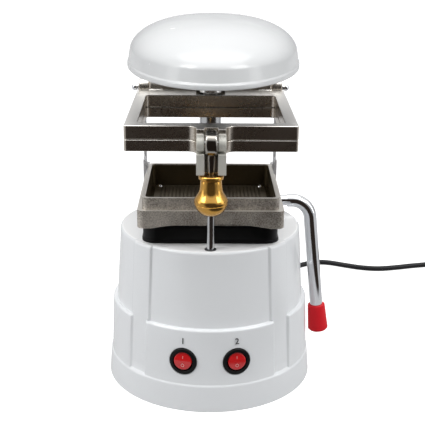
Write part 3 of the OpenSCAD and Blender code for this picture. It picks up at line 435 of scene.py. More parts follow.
def scaled_mesh(name, grid):
    """The finished mesh of a piece built in millimetres, with its faces turned outwards."""
    bmesh.ops.recalc_face_normals(grid, faces=grid.faces)
    bmesh.ops.scale(grid, vec=(MM, MM, MM), verts=grid.verts)
    mesh = bpy.data.meshes.new(name)
    grid.to_mesh(mesh)
    grid.free()
    return mesh


def at_switch(side):
    """Where a switch sits: its axis runs out of the housing, along -Y of this frame."""
    return (Matrix.Rotation(math.radians(side * SWITCH_TURN), 4, "Z")
            @ Matrix.Translation((0, -SWITCH_FACE_R, SWITCH_Z)))


def housing_profiles():
    """Two outer profiles with matching rows, through a block and through a pilaster."""
    foot = [(RING_R - 0.8, 0), (RING_R, 0.8)] + steps((RING_R, 0.8), (RING_TOP_R, RING_H - RING_ROUND), 3)
    ring_top = (RING_TOP_R - RING_ROUND, RING_H - RING_ROUND, RING_ROUND)
    block = foot + arc(*ring_top, 2, 46, 6) + [(BLOCK_R[0] + 0.12, RING_H - 0.4)]
    block += steps((BLOCK_R[0], RING_H + 0.6), (BLOCK_R[1], LEDGE_Z - LEDGE_ROUND), 6, True)
    block += arc(BLOCK_R[1] - LEDGE_ROUND, LEDGE_Z - LEDGE_ROUND, LEDGE_ROUND, 12, 86, 6)
    first_ledge_row = len(block) - 8
    block += [(PANEL_R[0] + 0.45, LEDGE_Z + 0.02), (PANEL_R[0] + 0.1, LEDGE_Z + 0.35)]
    first_panel_row = len(block) - 1
    block += steps((PANEL_R[0], LEDGE_Z + 1), (PANEL_R[1], DECK_Z - EDGE_ROUND), 8, True)
    slope = (PILASTER_R[1] - PILASTER_R[0]) / (DECK_Z - EDGE_ROUND - 21)
    heights = [z for r, z in block]
    low, high = heights[first_ledge_row], LEDGE_Z + 1
    pilaster = foot + arc(*ring_top, 2, 68, 6) + [(PILASTER_R[0] + 0.1, RING_H - 0.06)]
    for row in range(len(pilaster), len(block)):
        z = heights[row]
        if first_ledge_row < row <= first_panel_row:
            z = low + (high - low) * (row - first_ledge_row) / (first_panel_row + 1 - first_ledge_row)
        pilaster.append((PILASTER_R[0] + slope * (z - 21), z))
    block += arc(PANEL_R[1] - EDGE_ROUND, DECK_Z - EDGE_ROUND, EDGE_ROUND, 12, 90, 6)
    pilaster += arc(PILASTER_R[1] - EDGE_ROUND, DECK_Z - EDGE_ROUND, EDGE_ROUND, 12, 90, 6)
    return block, pilaster, first_panel_row


block_rows, pilaster_rows, first_panel_row = housing_profiles()
quarter = [2.0 * i for i in range(18)] + [36.0 + 0.25 * i for i in range(17)] + [41.0, 42.5, 44.0]
turns = {round(90 * q + s * d, 3) % 360 for q in range(4) for d in quarter for s in (-1, 1)}
turns = sorted(turns | {45.0, 135.0, 225.0, 315.0})
grid = bmesh.new()
rings = []
for row, (inner, outer) in enumerate(zip(block_rows, pilaster_rows)):
    edge = BLOCK_HALF if row < first_panel_row else 45 - PILASTER_HALF
    ring = []
    for turn in turns:
        off = abs((turn + 45) % 90 - 45)
        share = smooth((off - edge + STEP_HALF) / (2 * STEP_HALF))
        r = inner[0] + (outer[0] - inner[0]) * share
        z = inner[1] + (outer[1] - inner[1]) * share
        ring.append(grid.verts.new((*polar(r, turn), z)))
    rings.append(ring)
bridge(grid, rings)
grid.faces.new(rings[-1])
inner_rings = [rings[0]]
for r, z in INSIDE:
    inner_rings.append([grid.verts.new((*polar(r, turn), z)) for turn in turns])
bridge(grid, inner_rings)
grid.faces.new(inner_rings[-1])
housing_mesh = scaled_mesh("housing_moulding", grid)

along_y = Matrix.Rotation(-math.pi / 2, 4, "X")
outward = Matrix.Rotation(math.pi / 2, 4, "X")
bores = [
    ("duct", 17.62, 30, Matrix.Translation((0, DUCT_Y, 115))),
    ("rod", 4.22, 30, Matrix.Translation((0, ROD_Y, 115))),
    ("column", 10.27, 125, Matrix.Translation((0, COLUMN_Y, 24))),
    ("cord", 4.62, 28, Matrix.Translation((GLAND[0], 62, GLAND[2])) @ along_y),
    ("gland", 7.0, 12, Matrix.Translation(GLAND) @ along_y),
]
for side in (-1, 1):
    bores.append(("bezel", BEZEL_R + 0.4, 8, at_switch(side) @ outward))
    bores.append(("switch", 9.92, 14.5, at_switch(side) @ Matrix.Translation((0, -0.5, 0)) @ along_y))
for name, r, length, matrix in bores:
    grid = bmesh.new()
    add_cylinder(grid, r, length, matrix)
    housing_mesh = cut_mesh(housing_mesh, scaled_mesh(f"{name}_bore", grid))
for side in (-1, 1):
    bearing = side * 74
    crank = side * 59.75
    for low, high in (
        ((bearing - 20, SHAFT_Y - 9, DECK_Z - 3), (bearing + 20, SHAFT_Y + 9, DECK_Z + 6)),
        ((crank - 2.55, SHAFT_Y, DECK_Z - 13), (crank + 2.55, SHAFT_Y + 30, DECK_Z + 7)),
    ):
        grid = bmesh.new()
        add_box(grid, low, high)
        housing_mesh = cut_mesh(housing_mesh, scaled_mesh("slot", grid))
smooth_by_angle(housing_mesh, 38)


def blend_in(tree, label, share, value):
    """Mixes another value into one of the shader's inputs, by a share from 0 to 1."""
    socket = tree.nodes["Principled BSDF"].inputs[label]
    before = socket.links[0].from_socket if socket.links else socket.default_value
    kind = "RGBA" if socket.type == "RGBA" else "FLOAT"
    mix = add_node(tree, "Mix", {"Factor": share, "A": before, "B": value}, data_type=kind)
    tree.links.new(mix.outputs["Result"], socket)


def patch_where(material, low, high, soft, values):
    """Other shader values inside a box given in millimetres, with a soft border."""
    tree = material.node_tree
    place = add_node(tree, "TexCoord").outputs["Object"]
    share = 1
    for a, b in ((place, [c * MM for c in low]), ([c * MM for c in high], place)):
        gap = add_node(tree, "VectorMath", {0: a, 1: b}, operation="SUBTRACT").outputs["Vector"]
        parts = add_node(tree, "SeparateXYZ", {"Vector": gap}).outputs
        for axis in "XYZ":
            share = calculate(tree, "MINIMUM", parts[axis], share)
    inside = share_between(tree, share, 0, soft * MM)
    for label, value in values.items():
        blend_in(tree, label, inside, value)


white_abs = moulded_material("white_abs", (0.80, 0.815, 0.83), (0.77, 0.785, 0.80), (0.16, 0.26),
                             260, 0.000012, coat=0.35)
# Painted light: the deck's top gets a whiter colour than the rest of the moulding, standing in for light that
# the parts above keep off it.
patch_where(white_abs, (-86, -86, DECK_Z - 0.6), (86, 86, DECK_Z + 5), 0.4, {"Base Color": PAINTED_DECK_LIGHT})
link_piece("housing_moulding", housing_mesh, "base", white_abs, ("housing",))


# Bottom plate, its screws and rubber pads
# A zinc-plated sheet closes the housing from below; four rubber pads are let into it.
def dress_edges(node, width, degrees=32, segments=2, flat=True):
    """Small rounded edges on a machined or cast solid, with its flat faces kept flat."""
    piece = solid[node]
    weld = piece.modifiers.new("weld", "WELD")
    weld.merge_threshold = 1e-6
    if flat:
        planar = piece.modifiers.new("planar", "DECIMATE")
        planar.decimate_type = "DISSOLVE"
        planar.angle_limit = math.radians(1.0)
    round_edges = piece.modifiers.new("round_edges", "BEVEL")
    round_edges.width = width * MM
    round_edges.segments = segments
    round_edges.limit_method = "ANGLE"
    round_edges.angle_limit = math.radians(degrees)
    round_edges.harden_normals = False
    for polygon in piece.data.polygons:
        polygon.use_smooth = True
    tidy = piece.modifiers.new("smooth_faces", "WEIGHTED_NORMAL")
    tidy.keep_sharp = False
    return piece


def paint(material, *names):
    """Gives CAD nodes their material."""
    for name in names:
        data = solid[name].data
        data.materials.clear()
        data.materials.append(material)


# Drawn or brushed metal: streaks along one way, and a mottled shine
brushed, given = surface_group("brushed_surface", [("Grain", "Vector", (1.0, 1.0, 1.0))])
place = add_node(brushed, "TexCoord").outputs["Object"]
stretch = add_node(brushed, "VectorMath", {0: place, 1: given["Grain"]}, operation="MULTIPLY")
streak = add_node(brushed, "TexNoise", {"Vector": stretch.outputs["Vector"], "Scale": 1.0,
                                        "Detail": 5}).outputs["Fac"]
close_group(brushed, given, streak, streak)
metal_material = partial(surface_material, brushed, metallic=1.0)

zinc = metal_material("zinc_plate", (0.55, 0.56, 0.58), (0.44, 0.45, 0.47), (0.28, 0.48),
                      (60, 60, 60), 0.00001)
dark_rubber = moulded_material("dark_rubber", (0.03, 0.03, 0.03), (0.045, 0.045, 0.045), (0.6, 0.8),
                               700, 0.00003)
paint(zinc, "bottom_plate", "base_screws")
paint(dark_rubber, "rubber_pads")
for name in ("bottom_plate", "base_screws", "rubber_pads"):
    dress_edges(name, 0.3)


# Suction side: motor, its cradle and the duct
# They are hidden in the housing; only the duct's mouth can be reached from above.
# The motor is lacquered steel, its cradle and the column's socket are plated, the duct is plastic.
motor_paint = moulded_material("motor_paint", (0.06, 0.06, 0.065), (0.09, 0.09, 0.09), (0.4, 0.6),
                               500, 0.00002)
black_plastic = moulded_material("black_plastic", (0.0015, 0.0015, 0.0018), (0.003, 0.003, 0.003),
                                 (0.38, 0.5), 600, 0.00002, specular=0.2)
paint(motor_paint, "vacuum_motor")
paint(zinc, "motor_cradle", "column_socket")
paint(black_plastic, "suction_duct")
for name in ("vacuum_motor", "motor_cradle", "column_socket", "suction_duct"):
    dress_edges(name, 0.6, flat=False)


# Plinth
# A black plastic block seals the tray to the deck. A thin groove runs round it just below the tray.
paint(black_plastic, "plinth")
dress_edges("plinth", 0.5)


# Tray
# A deep aluminium casting with a rough, bead-blasted skin. Its rim and its ledge are machined, so their edges
# are bright, and all its up-facing faces are painted brighter, as painted light from above; the front and
# rear skirts are arched.
cast, given = surface_group("cast_surface", [("Grain", "Float", 900.0), ("Cloud Scale", "Float", 40.0)])
place = add_node(cast, "TexCoord").outputs["Object"]
grain = add_node(cast, "TexNoise", {"Vector": place, "Scale": given["Grain"], "Detail": 4,
                                    "Roughness": 0.65}).outputs["Fac"]
cloud = add_node(cast, "TexNoise", {"Vector": place, "Scale": given["Cloud Scale"],
                                    "Detail": 3}).outputs["Fac"]
mottle = calculate(cast, "MULTIPLY_ADD", grain, 0.55, calculate(cast, "MULTIPLY", cloud, 0.45))
spread = add_node(cast, "MapRange", {"Value": mottle, "From Min": 0.38, "From Max": 0.62}).outputs["Result"]
close_group(cast, given, spread, grain, 0, 1)
cast_material = partial(surface_material, cast, metallic=1.0)


def painted_light_and_polish_where_up(material, colour, roughness):
    """Where the solid faces up, the colour is painted brighter, as painted light from above, and the surface
    is smoother, as on machined faces.
    """
    tree = material.node_tree
    normal = add_node(tree, "NewGeometry").outputs["Normal"]
    height = add_node(tree, "SeparateXYZ", {"Vector": normal}).outputs["Z"]
    up = share_between(tree, height, 0.35, 0.8)
    blend_in(tree, "Base Color", up, colour)
    blend_in(tree, "Roughness", up, roughness)


tray_casting = cast_material("tray_casting", (0.70, 0.65, 0.58), (0.19, 0.17, 0.15), (0.36, 0.62),
                             900, 0.00025, metallic=0.7)
# Painted light: the casting's up-facing faces are coloured brighter.
painted_light_and_polish_where_up(tray_casting, (0.78, 0.75, 0.70), 0.3)
# Painted shade: inside the tray the casting is coloured dark brown, where the deep hollow lies in shade.
patch_where(tray_casting, (-55.8, -63.8, 158), (55.8, 47.8, 182.4), 0.6,
            {"Base Color": (0.10, 0.078, 0.045), "Metallic": 1.0, "Roughness": 0.5})
paint(tray_casting, "tray")
dress_edges("tray", 0.9, segments=3)


# Perforated plate and its screws
# A thin plate with rows of fine holes lies on the tray's floor; air is drawn down through it.
# The solid has fewer, wider holes than the real plate, so a finer plate stands for it here.
SIEVE_HALF = 51.0
SIEVE_Z = (162.0, 163.5)
SIEVE_Y = -8.0
SIEVE_HOLES = 27
SIEVE_PITCH = 3.45
SIEVE_HOLE_R = 1.15

grid = bmesh.new()
corners = {}


def circle(r, count):
    """Points on a circle round the middle."""
    return [polar(r, 360 * k / count) for k in range(count)]


def plate_face(*points):
    """A face of the plate; faces that meet share their corners."""
    face = []
    for x, y, z in points:
        key = (round(x, 3), round(y, 3), z)
        if key not in corners:
            corners[key] = grid.verts.new((x, y + SIEVE_Y, z))
        face.append(corners[key])
    grid.faces.new(face)


columns = [(-SIEVE_HOLES / 2 + i) * SIEVE_PITCH for i in range(SIEVE_HOLES + 1)]
half = SIEVE_PITCH / 2
border = [(half, 0), (half, half), (0, half), (-half, half)]
border += [(-half, 0), (-half, -half), (0, -half), (half, -half)]
low, high = SIEVE_Z
for mx in columns[:-1]:
    for my in columns[:-1]:
        cell = [(mx + half + x, my + half + y) for x, y in border]
        hole = [(mx + half + x, my + half + y) for x, y in circle(SIEVE_HOLE_R, 8)]
        for k in range(8):
            j = (k + 1) % 8
            plate_face((*cell[k], high), (*cell[j], high), (*hole[j], high), (*hole[k], high))
            plate_face((*hole[k], low), (*hole[j], low), (*cell[j], low), (*cell[k], low))
            plate_face((*hole[k], high), (*hole[j], high), (*hole[j], low), (*hole[k], low))
edge = [columns[0]] + [c for a, b in zip(columns, columns[1:]) for c in ((a + b) / 2, b)]
square = [(x, columns[0]) for x in edge] + [(columns[-1], y) for y in edge[1:]]
square += [(x, columns[-1]) for x in edge[::-1][1:]] + [(columns[0], y) for y in edge[::-1][1:-1]]
reach = SIEVE_HALF / columns[-1]
rim = [(x * reach, y * reach) for x, y in square]
for k in range(len(square)):
    j = (k + 1) % len(square)
    for z in SIEVE_Z:
        plate_face((*square[k], z), (*square[j], z), (*rim[j], z), (*rim[k], z))
    plate_face((*rim[k], low), (*rim[j], low), (*rim[j], high), (*rim[k], high))
sieve_metal = metal_material("sieve_metal", (0.36, 0.31, 0.24), (0.22, 0.19, 0.14), (0.35, 0.5),
                             (900, 900, 900), 0.00001)
link_piece("sieve", scaled_mesh("sieve", grid), "base", sieve_metal, ("perforated_plate",))
bright_steel = metal_material("bright_steel", (0.70, 0.70, 0.71), (0.60, 0.60, 0.61), (0.12, 0.2),
                              (500, 500, 40), 0.000004)
paint(bright_steel, "plate_screws")
dress_edges("plate_screws", 0.15, flat=False)


# Column, its collar and the bushings
# A ground steel column carries the frames and the head; a collar on it keeps the head up.
# The front rod guides the lower frame, and the cross shaft's bearings are screwed to the deck.
column_steel = metal_material("column_steel", (0.62, 0.63, 0.64), (0.52, 0.53, 0.54), (0.13, 0.22),
                              (700, 700, 14), 0.000004)
oiled_iron = metal_material("oiled_iron", (0.12, 0.12, 0.125), (0.08, 0.08, 0.085), (0.32, 0.46),
                            (300, 300, 300), 0.00001)
paint(column_steel, "column", "column_collar", "front_rod")
paint(oiled_iron, "rod_bushing", "shaft_bearings", "head_hub")
paint(zinc, "bearing_screws")
for name in ("column", "front_rod", "column_collar", "rod_bushing", "head_hub"):
    dress_edges(name, 0.5, flat=False)
dress_edges("shaft_bearings", 0.8)
dress_edges("bearing_screws", 0.3, flat=False)


# Switches
# Two round rocker switches snap into the front block: black bezels with red rockers, each with
# its bar and ring for on and off. The places above them hold plain numbers, printed in grey.
ROCKER_R = 7.75
ROCKER_PIVOT = 2.2
ROCKER_TILT = 7.0
ROCKER_CREST = 4.9
CREST_ROUND = 1.4
MARK_PROUD = 0.06
RING_MARK_Z = -3.6
NUMBER_PLACE = (0, -89.75, 61.5)
NUMBER_LEAN = 1.9


def lathe(grid, profile, count, matrix):
    """A turned solid from (radius, height) points, closed where it meets its axis."""
    rings = []
    for r, z in profile:
        spots = [(0, 0)] if r < 1e-6 else circle(r, count)
        rings.append([grid.verts.new((x, y, z)) for x, y in spots])
    for low, high in zip(rings, rings[1:]):
        for k in range(count):
            j = (k + 1) % count
            if len(low) == 1 and len(high) == 1:
                continue
            if len(low) == 1:
                grid.faces.new((low[0], high[j], high[k]))
            elif len(high) == 1:
                grid.faces.new((low[k], low[j], high[0]))
            else:
                grid.faces.new((low[k], low[j], high[j], high[k]))
    bmesh.ops.transform(grid, matrix=matrix, verts=[v for ring in rings for v in ring])


def set_piece(name, grid, degrees, body, material, replaced=()):
    """Finishes a piece built in millimetres, keeps its sharper edges and puts it in the scene."""
    mesh = scaled_mesh(name, grid)
    smooth_by_angle(mesh, degrees)
    link_piece(name, mesh, body, material, replaced)


def fall_back(z):
    """How far the rocker's face lies behind its crest, at that height from its middle."""
    bow = math.sqrt(z * z + CREST_ROUND) - math.sqrt(CREST_ROUND)
    return bow * math.tan(math.radians(ROCKER_TILT)) * 1.1


red_rocker = moulded_material("red_rocker", (0.62, 0.012, 0.014), (0.50, 0.008, 0.01), (0.14, 0.22),
                              500, 0.00001, coat=0.6)
mark_white = moulded_material("mark_white", (0.75, 0.42, 0.40), (0.7, 0.38, 0.36), (0.4, 0.5), 900, 0.00001)
ink_grey = moulded_material("ink_grey", (0.03, 0.03, 0.033), (0.05, 0.05, 0.05), (0.45, 0.6), 900, 0.00001)
for side, label in ((-1, "left"), (1, "right")):
    grid = bmesh.new()
    bezel = [(0, -7.0), (8.4, -7.0), (8.4, 1.2), (8.7, 1.9)] + arc(9.3, 1.5, 0.75, 130, 70, 4)
    bezel += arc(BEZEL_R - 1.3, 0.9, 1.3, 70, 4, 5)
    bezel += [(BEZEL_R, 0.0), (9.9, 0.0), (9.9, -12.0), (0, -12.0)]
    lathe(grid, bezel, 72, at_switch(side) @ outward)
    set_piece(f"switch_bezel_{label}", grid, 40, "base", black_plastic, (f"switch_body_{label}",))

    rocker_frame = (at_switch(side) @ Matrix.Translation((0, ROCKER_PIVOT, 0))
                    @ Matrix.Rotation(-math.radians(ROCKER_TILT), 4, "X"))
    grid = bmesh.new()
    crown = grid.verts.new((0, -ROCKER_CREST, 0))
    rows = []
    for i in range(1, 11):
        spots = circle((ROCKER_R - 0.35) * i / 10, 64)
        rows.append([grid.verts.new((x, fall_back(z) - ROCKER_CREST, z)) for x, z in spots])
    for k in range(64):
        grid.faces.new((crown, rows[0][(k + 1) % 64], rows[0][k]))
    face_edge = rows[-1]
    for r, push in ((ROCKER_R - 0.1, 0.25), (ROCKER_R, 0.6)):
        spots = zip(face_edge, circle(r, 64))
        rows.append([grid.verts.new((x, inner.co.y + push, z)) for inner, (x, z) in spots])
    rows.append([grid.verts.new((x, 2.4, z)) for x, z in circle(ROCKER_R, 64)])
    bridge(grid, rows)
    grid.faces.new(rows[-1])
    bmesh.ops.transform(grid, matrix=rocker_frame, verts=grid.verts)
    set_piece(f"rocker_cap_{label}", grid, 45, f"rocker_{label}", red_rocker, (f"rocker_{label}",))

    grid = bmesh.new()
    mark_y = -ROCKER_CREST - MARK_PROUD
    bar = [(-0.2, 2.2), (0.2, 2.2), (0.2, 4.6), (-0.2, 4.6)]
    bar_rings = []
    for push in (0, 0.2):
        bar_rings.append([grid.verts.new((x, mark_y + push + fall_back(z), z)) for x, z in bar])
    grid.faces.new(bar_rings[0])
    grid.faces.new(bar_rings[1][::-1])
    bridge(grid, bar_rings)
    rings = []
    for r, push in ((1.1, 0.2), (1.1, 0), (1.45, 0), (1.45, 0.2)):
        spots = [(x, z + RING_MARK_Z) for x, z in circle(r, 32)]
        rings.append([grid.verts.new((x, mark_y + push + fall_back(z), z)) for x, z in spots])
    bridge(grid, rings + [rings[0]])
    bmesh.ops.transform(grid, matrix=rocker_frame, verts=grid.verts)
    name = f"rocker_marks_{label}"
    link_piece(name, scaled_mesh(name, grid), f"rocker_{label}", mark_white)

    name = f"switch_number_{label}"
    number = bpy.data.curves.new(name, "FONT")
    number.body = "1" if side < 0 else "2"
    number.size = 7.5 * MM
    number.extrude = 0.05 * MM
    number.offset = 0.12 * MM
    number.align_x = "CENTER"
    holder = bpy.data.objects.new("holder", number)
    bpy.context.scene.collection.objects.link(holder)
    number_mesh = final_mesh(holder)
    bpy.data.objects.remove(holder)
    number_place = (Matrix.Rotation(math.radians(side * SWITCH_TURN), 4, "Z")
                    @ Matrix.Translation(NUMBER_PLACE)
                    @ Matrix.Rotation(math.radians(90 - NUMBER_LEAN), 4, "X"))
    number_place.translation *= MM
    number_mesh.transform(number_place)
    number_mesh.name = name
    link_piece(name, number_mesh, "base", ink_grey)


# Cord gland and plug
# The strain relief is a ribbed rubber taper that screws into the housing's back.
# The plug is moulded on the far end of the cord, in black plastic with two pins.
grid = bmesh.new()
gland = [(0, -6), (4.6, -6), (4.6, -0.01), (6.0, 0.0), (6.0, 2.4), (5.6, 3.0)]
for i in range(9):
    z0 = 3.4 + 3.2 * i
    r0 = 5.1 - 0.11 * i
    gland += [(r0, z0), (r0, z0 + 1.9), (r0 - 0.75, z0 + 2.2), (r0 - 0.75, z0 + 2.9)]
gland += [(4.0, 33.6), (3.3, 34.0), (3.05, 34.0), (3.05, 32.0), (0, 32.0)]
lathe(grid, gland, 48, Matrix.Translation(GLAND) @ along_y)
set_piece("ribbed_gland", grid, 35, "base", dark_rubber, ("cord_gland",))
paint(black_plastic, "plug")
dress_edges("plug", 0.8)


# Guide bush
# An oiled iron bush with small chamfers, pressed flush into the lower frame.
# It runs on the column and keeps the frame level.
FRAME_Z = 226.3
FRAME_T = 9.3
grid = bmesh.new()
bush = [(10.4, 0), (13.6, 0), (14.05, 0.4), (14.05, FRAME_T - 0.4)]
bush += [(13.6, FRAME_T), (10.4, FRAME_T), (10.4, 0)]
lathe(grid, bush, 64, Matrix.Translation((0, COLUMN_Y, FRAME_Z)))
set_piece("guide_bush", grid, 35, "carriage", oiled_iron, ("column_bushing",))


# Sheet frames
# Two cast frames clamp the plastic sheet between them. The upper one is hinged at the rear.
# They are nickel-plated over a blasted skin, so flat faces look satin and edges look bright; their up-facing
# faces are also painted brighter, as painted light from above.
nickel = cast_material("nickel_plate", (0.62, 0.575, 0.51), (0.50, 0.455, 0.40), (0.22, 0.36), 700, 0.00002)
# Painted light: the frames' up-facing faces are coloured brighter.
painted_light_and_polish_where_up(nickel, (0.93, 0.91, 0.87), 0.3)
patch_where(nickel, (-12.2, -104, 208), (12.2, -84.5, 244), 1.0,
            {"Base Color": (0.60, 0.59, 0.54), "Metallic": 0.35, "Roughness": 0.55})
paint(nickel, "lower_frame", "upper_frame")
for name, width, flat in (("lower_frame", 0.5, False), ("upper_frame", 0.8, True)):
    dress_edges(name, width, segments=3, flat=flat).modifiers["round_edges"].use_clamp_overlap = False


# Hinge barrel and cheeks
# The upper frame's rear bar carries a thick barrel, and the lower frame's lugs close its ends.
# Both are turned bar with the frames' nickel plating, brazed on before plating.
HINGE = (90.0, 248.0)
across_x = Matrix.Rotation(math.pi / 2, 4, "Y")
for name, body, spans, r in (
    ("hinge_barrel", "upper_frame", ((-58.2, 58.2),), 8.8),
    ("hinge_cheeks", "carriage", ((-68.6, -58.6), (58.6, 68.6)), 8.0),
):
    grid = bmesh.new()
    for low, high in spans:
        wide = high - low
        barrel = [(0, 0), (r - 0.8, 0), (r, 0.8), (r, wide - 0.8), (r - 0.8, wide), (0, wide)]
        lathe(grid, barrel, 64, Matrix.Translation((low, *HINGE)) @ across_x)
    set_piece(name, grid, 35, body, nickel)


# Hinge pins, latch, lift plates and cranks
# Chromed steel: the lever's cross shaft turns two cranks, whose pins work the lift plates.
# The plates are satin sheet, and the swing bolt of the latch is chrome painted darker than the rest, as
# painted shade.
CRANK_PIN = (72.87, 172.85)
chrome = metal_material("chrome_plate", (0.74, 0.75, 0.77), (0.70, 0.71, 0.73), (0.045, 0.08),
                        (200, 200, 200), 0.000002)
satin_steel = metal_material("satin_steel", (0.72, 0.72, 0.73), (0.62, 0.62, 0.63), (0.35, 0.5),
                             (300, 300, 60), 0.000006, metallic=0.6)
# Painted shade: the swing bolt's chrome is a darker copy of the chrome plate.
dark_chrome = metal_material("dark_chrome", (0.40, 0.38, 0.35), (0.34, 0.32, 0.29), (0.08, 0.14),
                             (200, 200, 200), 0.000002)
paint(chrome, "hinge_pins", "latch_pin")
paint(dark_chrome, "swing_bolt")
paint(satin_steel, "lift_plates", "cranks")
paint(zinc, "lift_screws")
for name in ("hinge_pins", "latch_pin", "swing_bolt", "lift_screws"):
    dress_edges(name, 0.3, flat=False)
for name in ("cranks", "lift_plates"):
    dress_edges(name, 0.35)
grid = bmesh.new()
for start in (-63.9, 58.4):
    lathe(grid, [(0, 0), (2.6, 0), (3.0, 0.4), (3.0, 5.1), (2.6, 5.5), (0, 5.5)], 40,
          Matrix.Translation((start, *CRANK_PIN)) @ across_x)
set_piece("crank_dowels", grid, 35, "lever", satin_steel, ("crank_pins",))


# Lever
# One chromed steel bar: its thinner middle runs in the bearings and carries the cranks.
# Outside the housing it is thicker, and it is bent down to the grip.
LEVER_CORNER = (94.7, 51.5, 146.4)
LEVER_LEAN = 6.0
LEVER_BEND = 18.0
SHAFT_R = 5.0
ARM_R = 6.2
ARM_FROM = 74.0
GRIP_START = 107.5
grid = bmesh.new()
turn_by = 90 - LEVER_LEAN
lean = math.radians(LEVER_LEAN)
tangent = LEVER_BEND * math.tan(math.radians(turn_by / 2))
bend_x = LEVER_CORNER[0] - tangent
path = [(ARM_FROM, 0.0, 0.0), (bend_x, 0.0, 0.0)]
for i in range(1, 17):
    turn = turn_by * i / 16
    x, z = polar(LEVER_BEND, 90 - turn)
    path.append((bend_x + x, z - LEVER_BEND, turn))
arm = GRIP_START + 6
path.append((LEVER_CORNER[0] + arm * math.sin(lean), -arm * math.cos(lean), turn_by))
rings = []
for x, z, slope in path:
    aside, upward = polar(1, 90 - slope)
    rings.append([grid.verts.new((x + u * aside, SHAFT_Y + v, LEVER_CORNER[2] + z + u * upward))
                  for u, v in circle(ARM_R, 48)])
bridge(grid, rings)
grid.faces.new(rings[-1])
shaft = []
for x, r in ((-61.4, SHAFT_R - 0.4), (-61.0, SHAFT_R), (ARM_FROM - 0.01, SHAFT_R)):
    shaft.append([grid.verts.new((x, SHAFT_Y + v, LEVER_CORNER[2] + u)) for u, v in circle(r, 48)])
bridge(grid, shaft + [rings[0]])
grid.faces.new(shaft[0])
set_piece("lever_bar", grid, 40, "lever", chrome, ("lever_rod",))


# Grip
# A red rubber sleeve, wider towards its tip, pushed over the lever's end.
# It is matt, with a small chamfer round the closed tip.
GRIP_LEN = 27.3
grid = bmesh.new()
grip = [(0, 0.2), (7.6, 0.2)] + arc(7.8, 0.8, 0.6, -90, 0, 4)
grip += steps((8.5, 1.4), (9.8, GRIP_LEN - 2.4), 10, True)
grip += [(9.75, GRIP_LEN - 2.0), (8.4, GRIP_LEN - 0.4), (8.0, GRIP_LEN - 0.1)]
grip += [(3.5, GRIP_LEN - 0.02), (0, GRIP_LEN)]
down_the_arm = (Matrix.Rotation(math.radians(180 - LEVER_LEAN), 4, "Y")
                @ Matrix.Translation((0, 0, GRIP_START)))
lathe(grid, grip, 64, Matrix.Translation(LEVER_CORNER) @ down_the_arm)
red_rubber = moulded_material("red_rubber", (0.74, 0.008, 0.018), (0.64, 0.006, 0.014), (0.45, 0.6),
                              350, 0.00004, specular=0.25)
set_piece("grip_sleeve", grid, 50, "lever", red_rubber, ("lever_grip",))


# Knob
# A turned brass nut with a waist, a collar and a belt round its widest part.
# It is polished, and it screws on the swing bolt to pull the frames together.
KNOB_Z = 178.0
LATCH_Y = -96.0
grid = bmesh.new()
knob = [(0, 0)]
for a in range(16, 86, 6):
    knob.append((13.3 * math.sin(math.radians(a)), 11.6 - 11.6 * math.cos(math.radians(a))))
knob += [(13.3, 10.3), (13.0, 10.6), (13.0, 11.0), (13.45, 11.3), (13.6, 12.4), (13.45, 13.6), (12.95, 14.6)]
knob += [(12.1, 15.9), (11.0, 17.6), (10.2, 19.0), (9.7, 20.1), (9.3, 21.8), (9.05, 23.6), (8.85, 25.6)]
knob += [(8.65, 27.4), (8.5, 29.0), (8.3, 29.4), (8.3, 29.8), (9.3, 30.3), (9.9, 30.9), (9.95, 32.6)]
knob += [(9.6, 33.4), (9.2, 33.7), (3.2, 33.7), (3.05, 33.4), (3.05, 3), (0, 3)]
lathe(grid, knob, 96, Matrix.Translation((0, LATCH_Y, KNOB_Z)))
brass = metal_material("polished_brass", (0.66, 0.37, 0.085), (0.52, 0.28, 0.06), (0.13, 0.2),
                       (40, 40, 1500), 0.000006, metallic=0.9)
set_piece("turned_knob", grid, 36, "knob", brass, ("knob",))


# Head
# A white moulded dome over the heater, egg-shaped in plan, with a raised lip round its rim.
# Its wall is thin, and hollow posts inside take the screws of the base plate.
HEAD_X = 2.1
HEAD_HALF = 76.4
HEAD_Y = 39.0
HEAD_FRONT = 146.0
HEAD_REAR = 66.0
HEAD_Z = 280.0
LIP_H = 4.6
SHOULDER_Z = 293.8
CROWN_H = 28.6
WALL_S = 0.971
SHELL_T = 2.6
AROUND = 144
POST_Z = 284.8


def egg(turn, s, inset=0.0):
    """A point of the dome's outline, drawn in by the share s and by the inset."""
    reach = HEAD_FRONT if math.cos(turn) < 0 else HEAD_REAR
    return HEAD_X + (HEAD_HALF - inset) * s * math.sin(turn), HEAD_Y + (reach - inset) * s * math.cos(turn)


def head_rows(inset):
    """Rows of (share of the outline, height), from the rim up to the crown."""
    if inset:
        rows = [(0.99, HEAD_Z + 0.6), (0.988, HEAD_Z + 6)]
    else:
        rows = [(0.994, HEAD_Z), (0.999, HEAD_Z + 0.4), (1.0, HEAD_Z + 1.2), (1.0, HEAD_Z + LIP_H - 1.5),
                (0.998, HEAD_Z + LIP_H - 0.6), (0.993, HEAD_Z + LIP_H - 0.1), (0.989, HEAD_Z + LIP_H + 0.15),
                (0.9865, HEAD_Z + LIP_H + 1.0), (0.983, HEAD_Z + 9)]
    for k in range(25):
        a = math.radians(90 * k / 25)
        rows.append((WALL_S * math.cos(a) ** 0.8, SHOULDER_Z - inset + CROWN_H * math.sin(a) ** 1.18))
    return rows


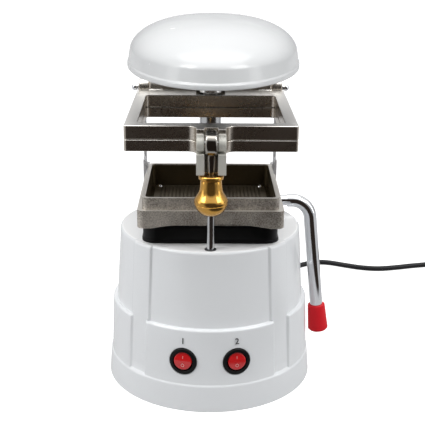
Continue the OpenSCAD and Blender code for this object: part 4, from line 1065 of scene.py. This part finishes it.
grid = bmesh.new()
shells = []
for inset in (0, SHELL_T):
    shell = []
    for s, z in head_rows(inset):
        shell.append([grid.verts.new((*egg(2 * math.pi * k / AROUND, s, inset), z)) for k in range(AROUND)])
    crown = grid.verts.new((HEAD_X, HEAD_Y, SHOULDER_Z - inset + CROWN_H))
    bridge(grid, shell)
    for k in range(AROUND):
        grid.faces.new((shell[-1][k], shell[-1][(k + 1) % AROUND], crown))
    shells.append(shell)
bridge(grid, [shells[0][0], shells[1][0]])
# Painted shade: the dome's white is a darker copy of the housing's white, holding down the strong light on
# its top.
head_white = moulded_material("head_white", (0.66, 0.67, 0.675), (0.64, 0.65, 0.655), (0.18, 0.28),
                              260, 0.000012, coat=0.3)
set_piece("head_cover", grid, 50, "head", head_white, ("head_shell",))
grid = bmesh.new()
for x, y, top in ((60, 40, 300), (22, 88, 298), (36, -62, 302)):
    tall = top - POST_Z
    post = [(1.6, 0), (4.2, 0), (4.5, 0.3), (4.5, tall), (0, tall), (0, 8), (1.6, 8), (1.6, 0)]
    for side in (-1, 1):
        lathe(grid, post, 32, Matrix.Translation((side * x, y, POST_Z)))
set_piece("head_posts", grid, 40, "head", head_white, ("head_pillars",))
paint(zinc, "head_base_plate", "head_screws")
dress_edges("head_base_plate", 0.3)
dress_edges("head_screws", 0.3, flat=False)


# Heater
# A bent tubular element hangs on ceramic posts under a bright reflector.
# Its surface is burnt dark, and the reflector is a pressed sheet of aluminium.
reflector_metal = metal_material("reflector_metal", (0.75, 0.75, 0.75), (0.65, 0.65, 0.65), (0.15, 0.3),
                                 (90, 90, 90), 0.00001)
element_metal = metal_material("element_metal", (0.10, 0.07, 0.055), (0.05, 0.035, 0.03), (0.45, 0.6),
                               (400, 400, 400), 0.00002, metallic=0.7)
ceramic = moulded_material("ceramic", (0.78, 0.74, 0.66), (0.7, 0.66, 0.58), (0.25, 0.4), 500, 0.00002)
paint(reflector_metal, "heat_reflector")
paint(element_metal, "heater_element")
paint(ceramic, "element_posts")
dress_edges("heat_reflector", 0.3, flat=False)
dress_edges("heater_element", 0.1, flat=False)
dress_edges("element_posts", 0.3, flat=False)
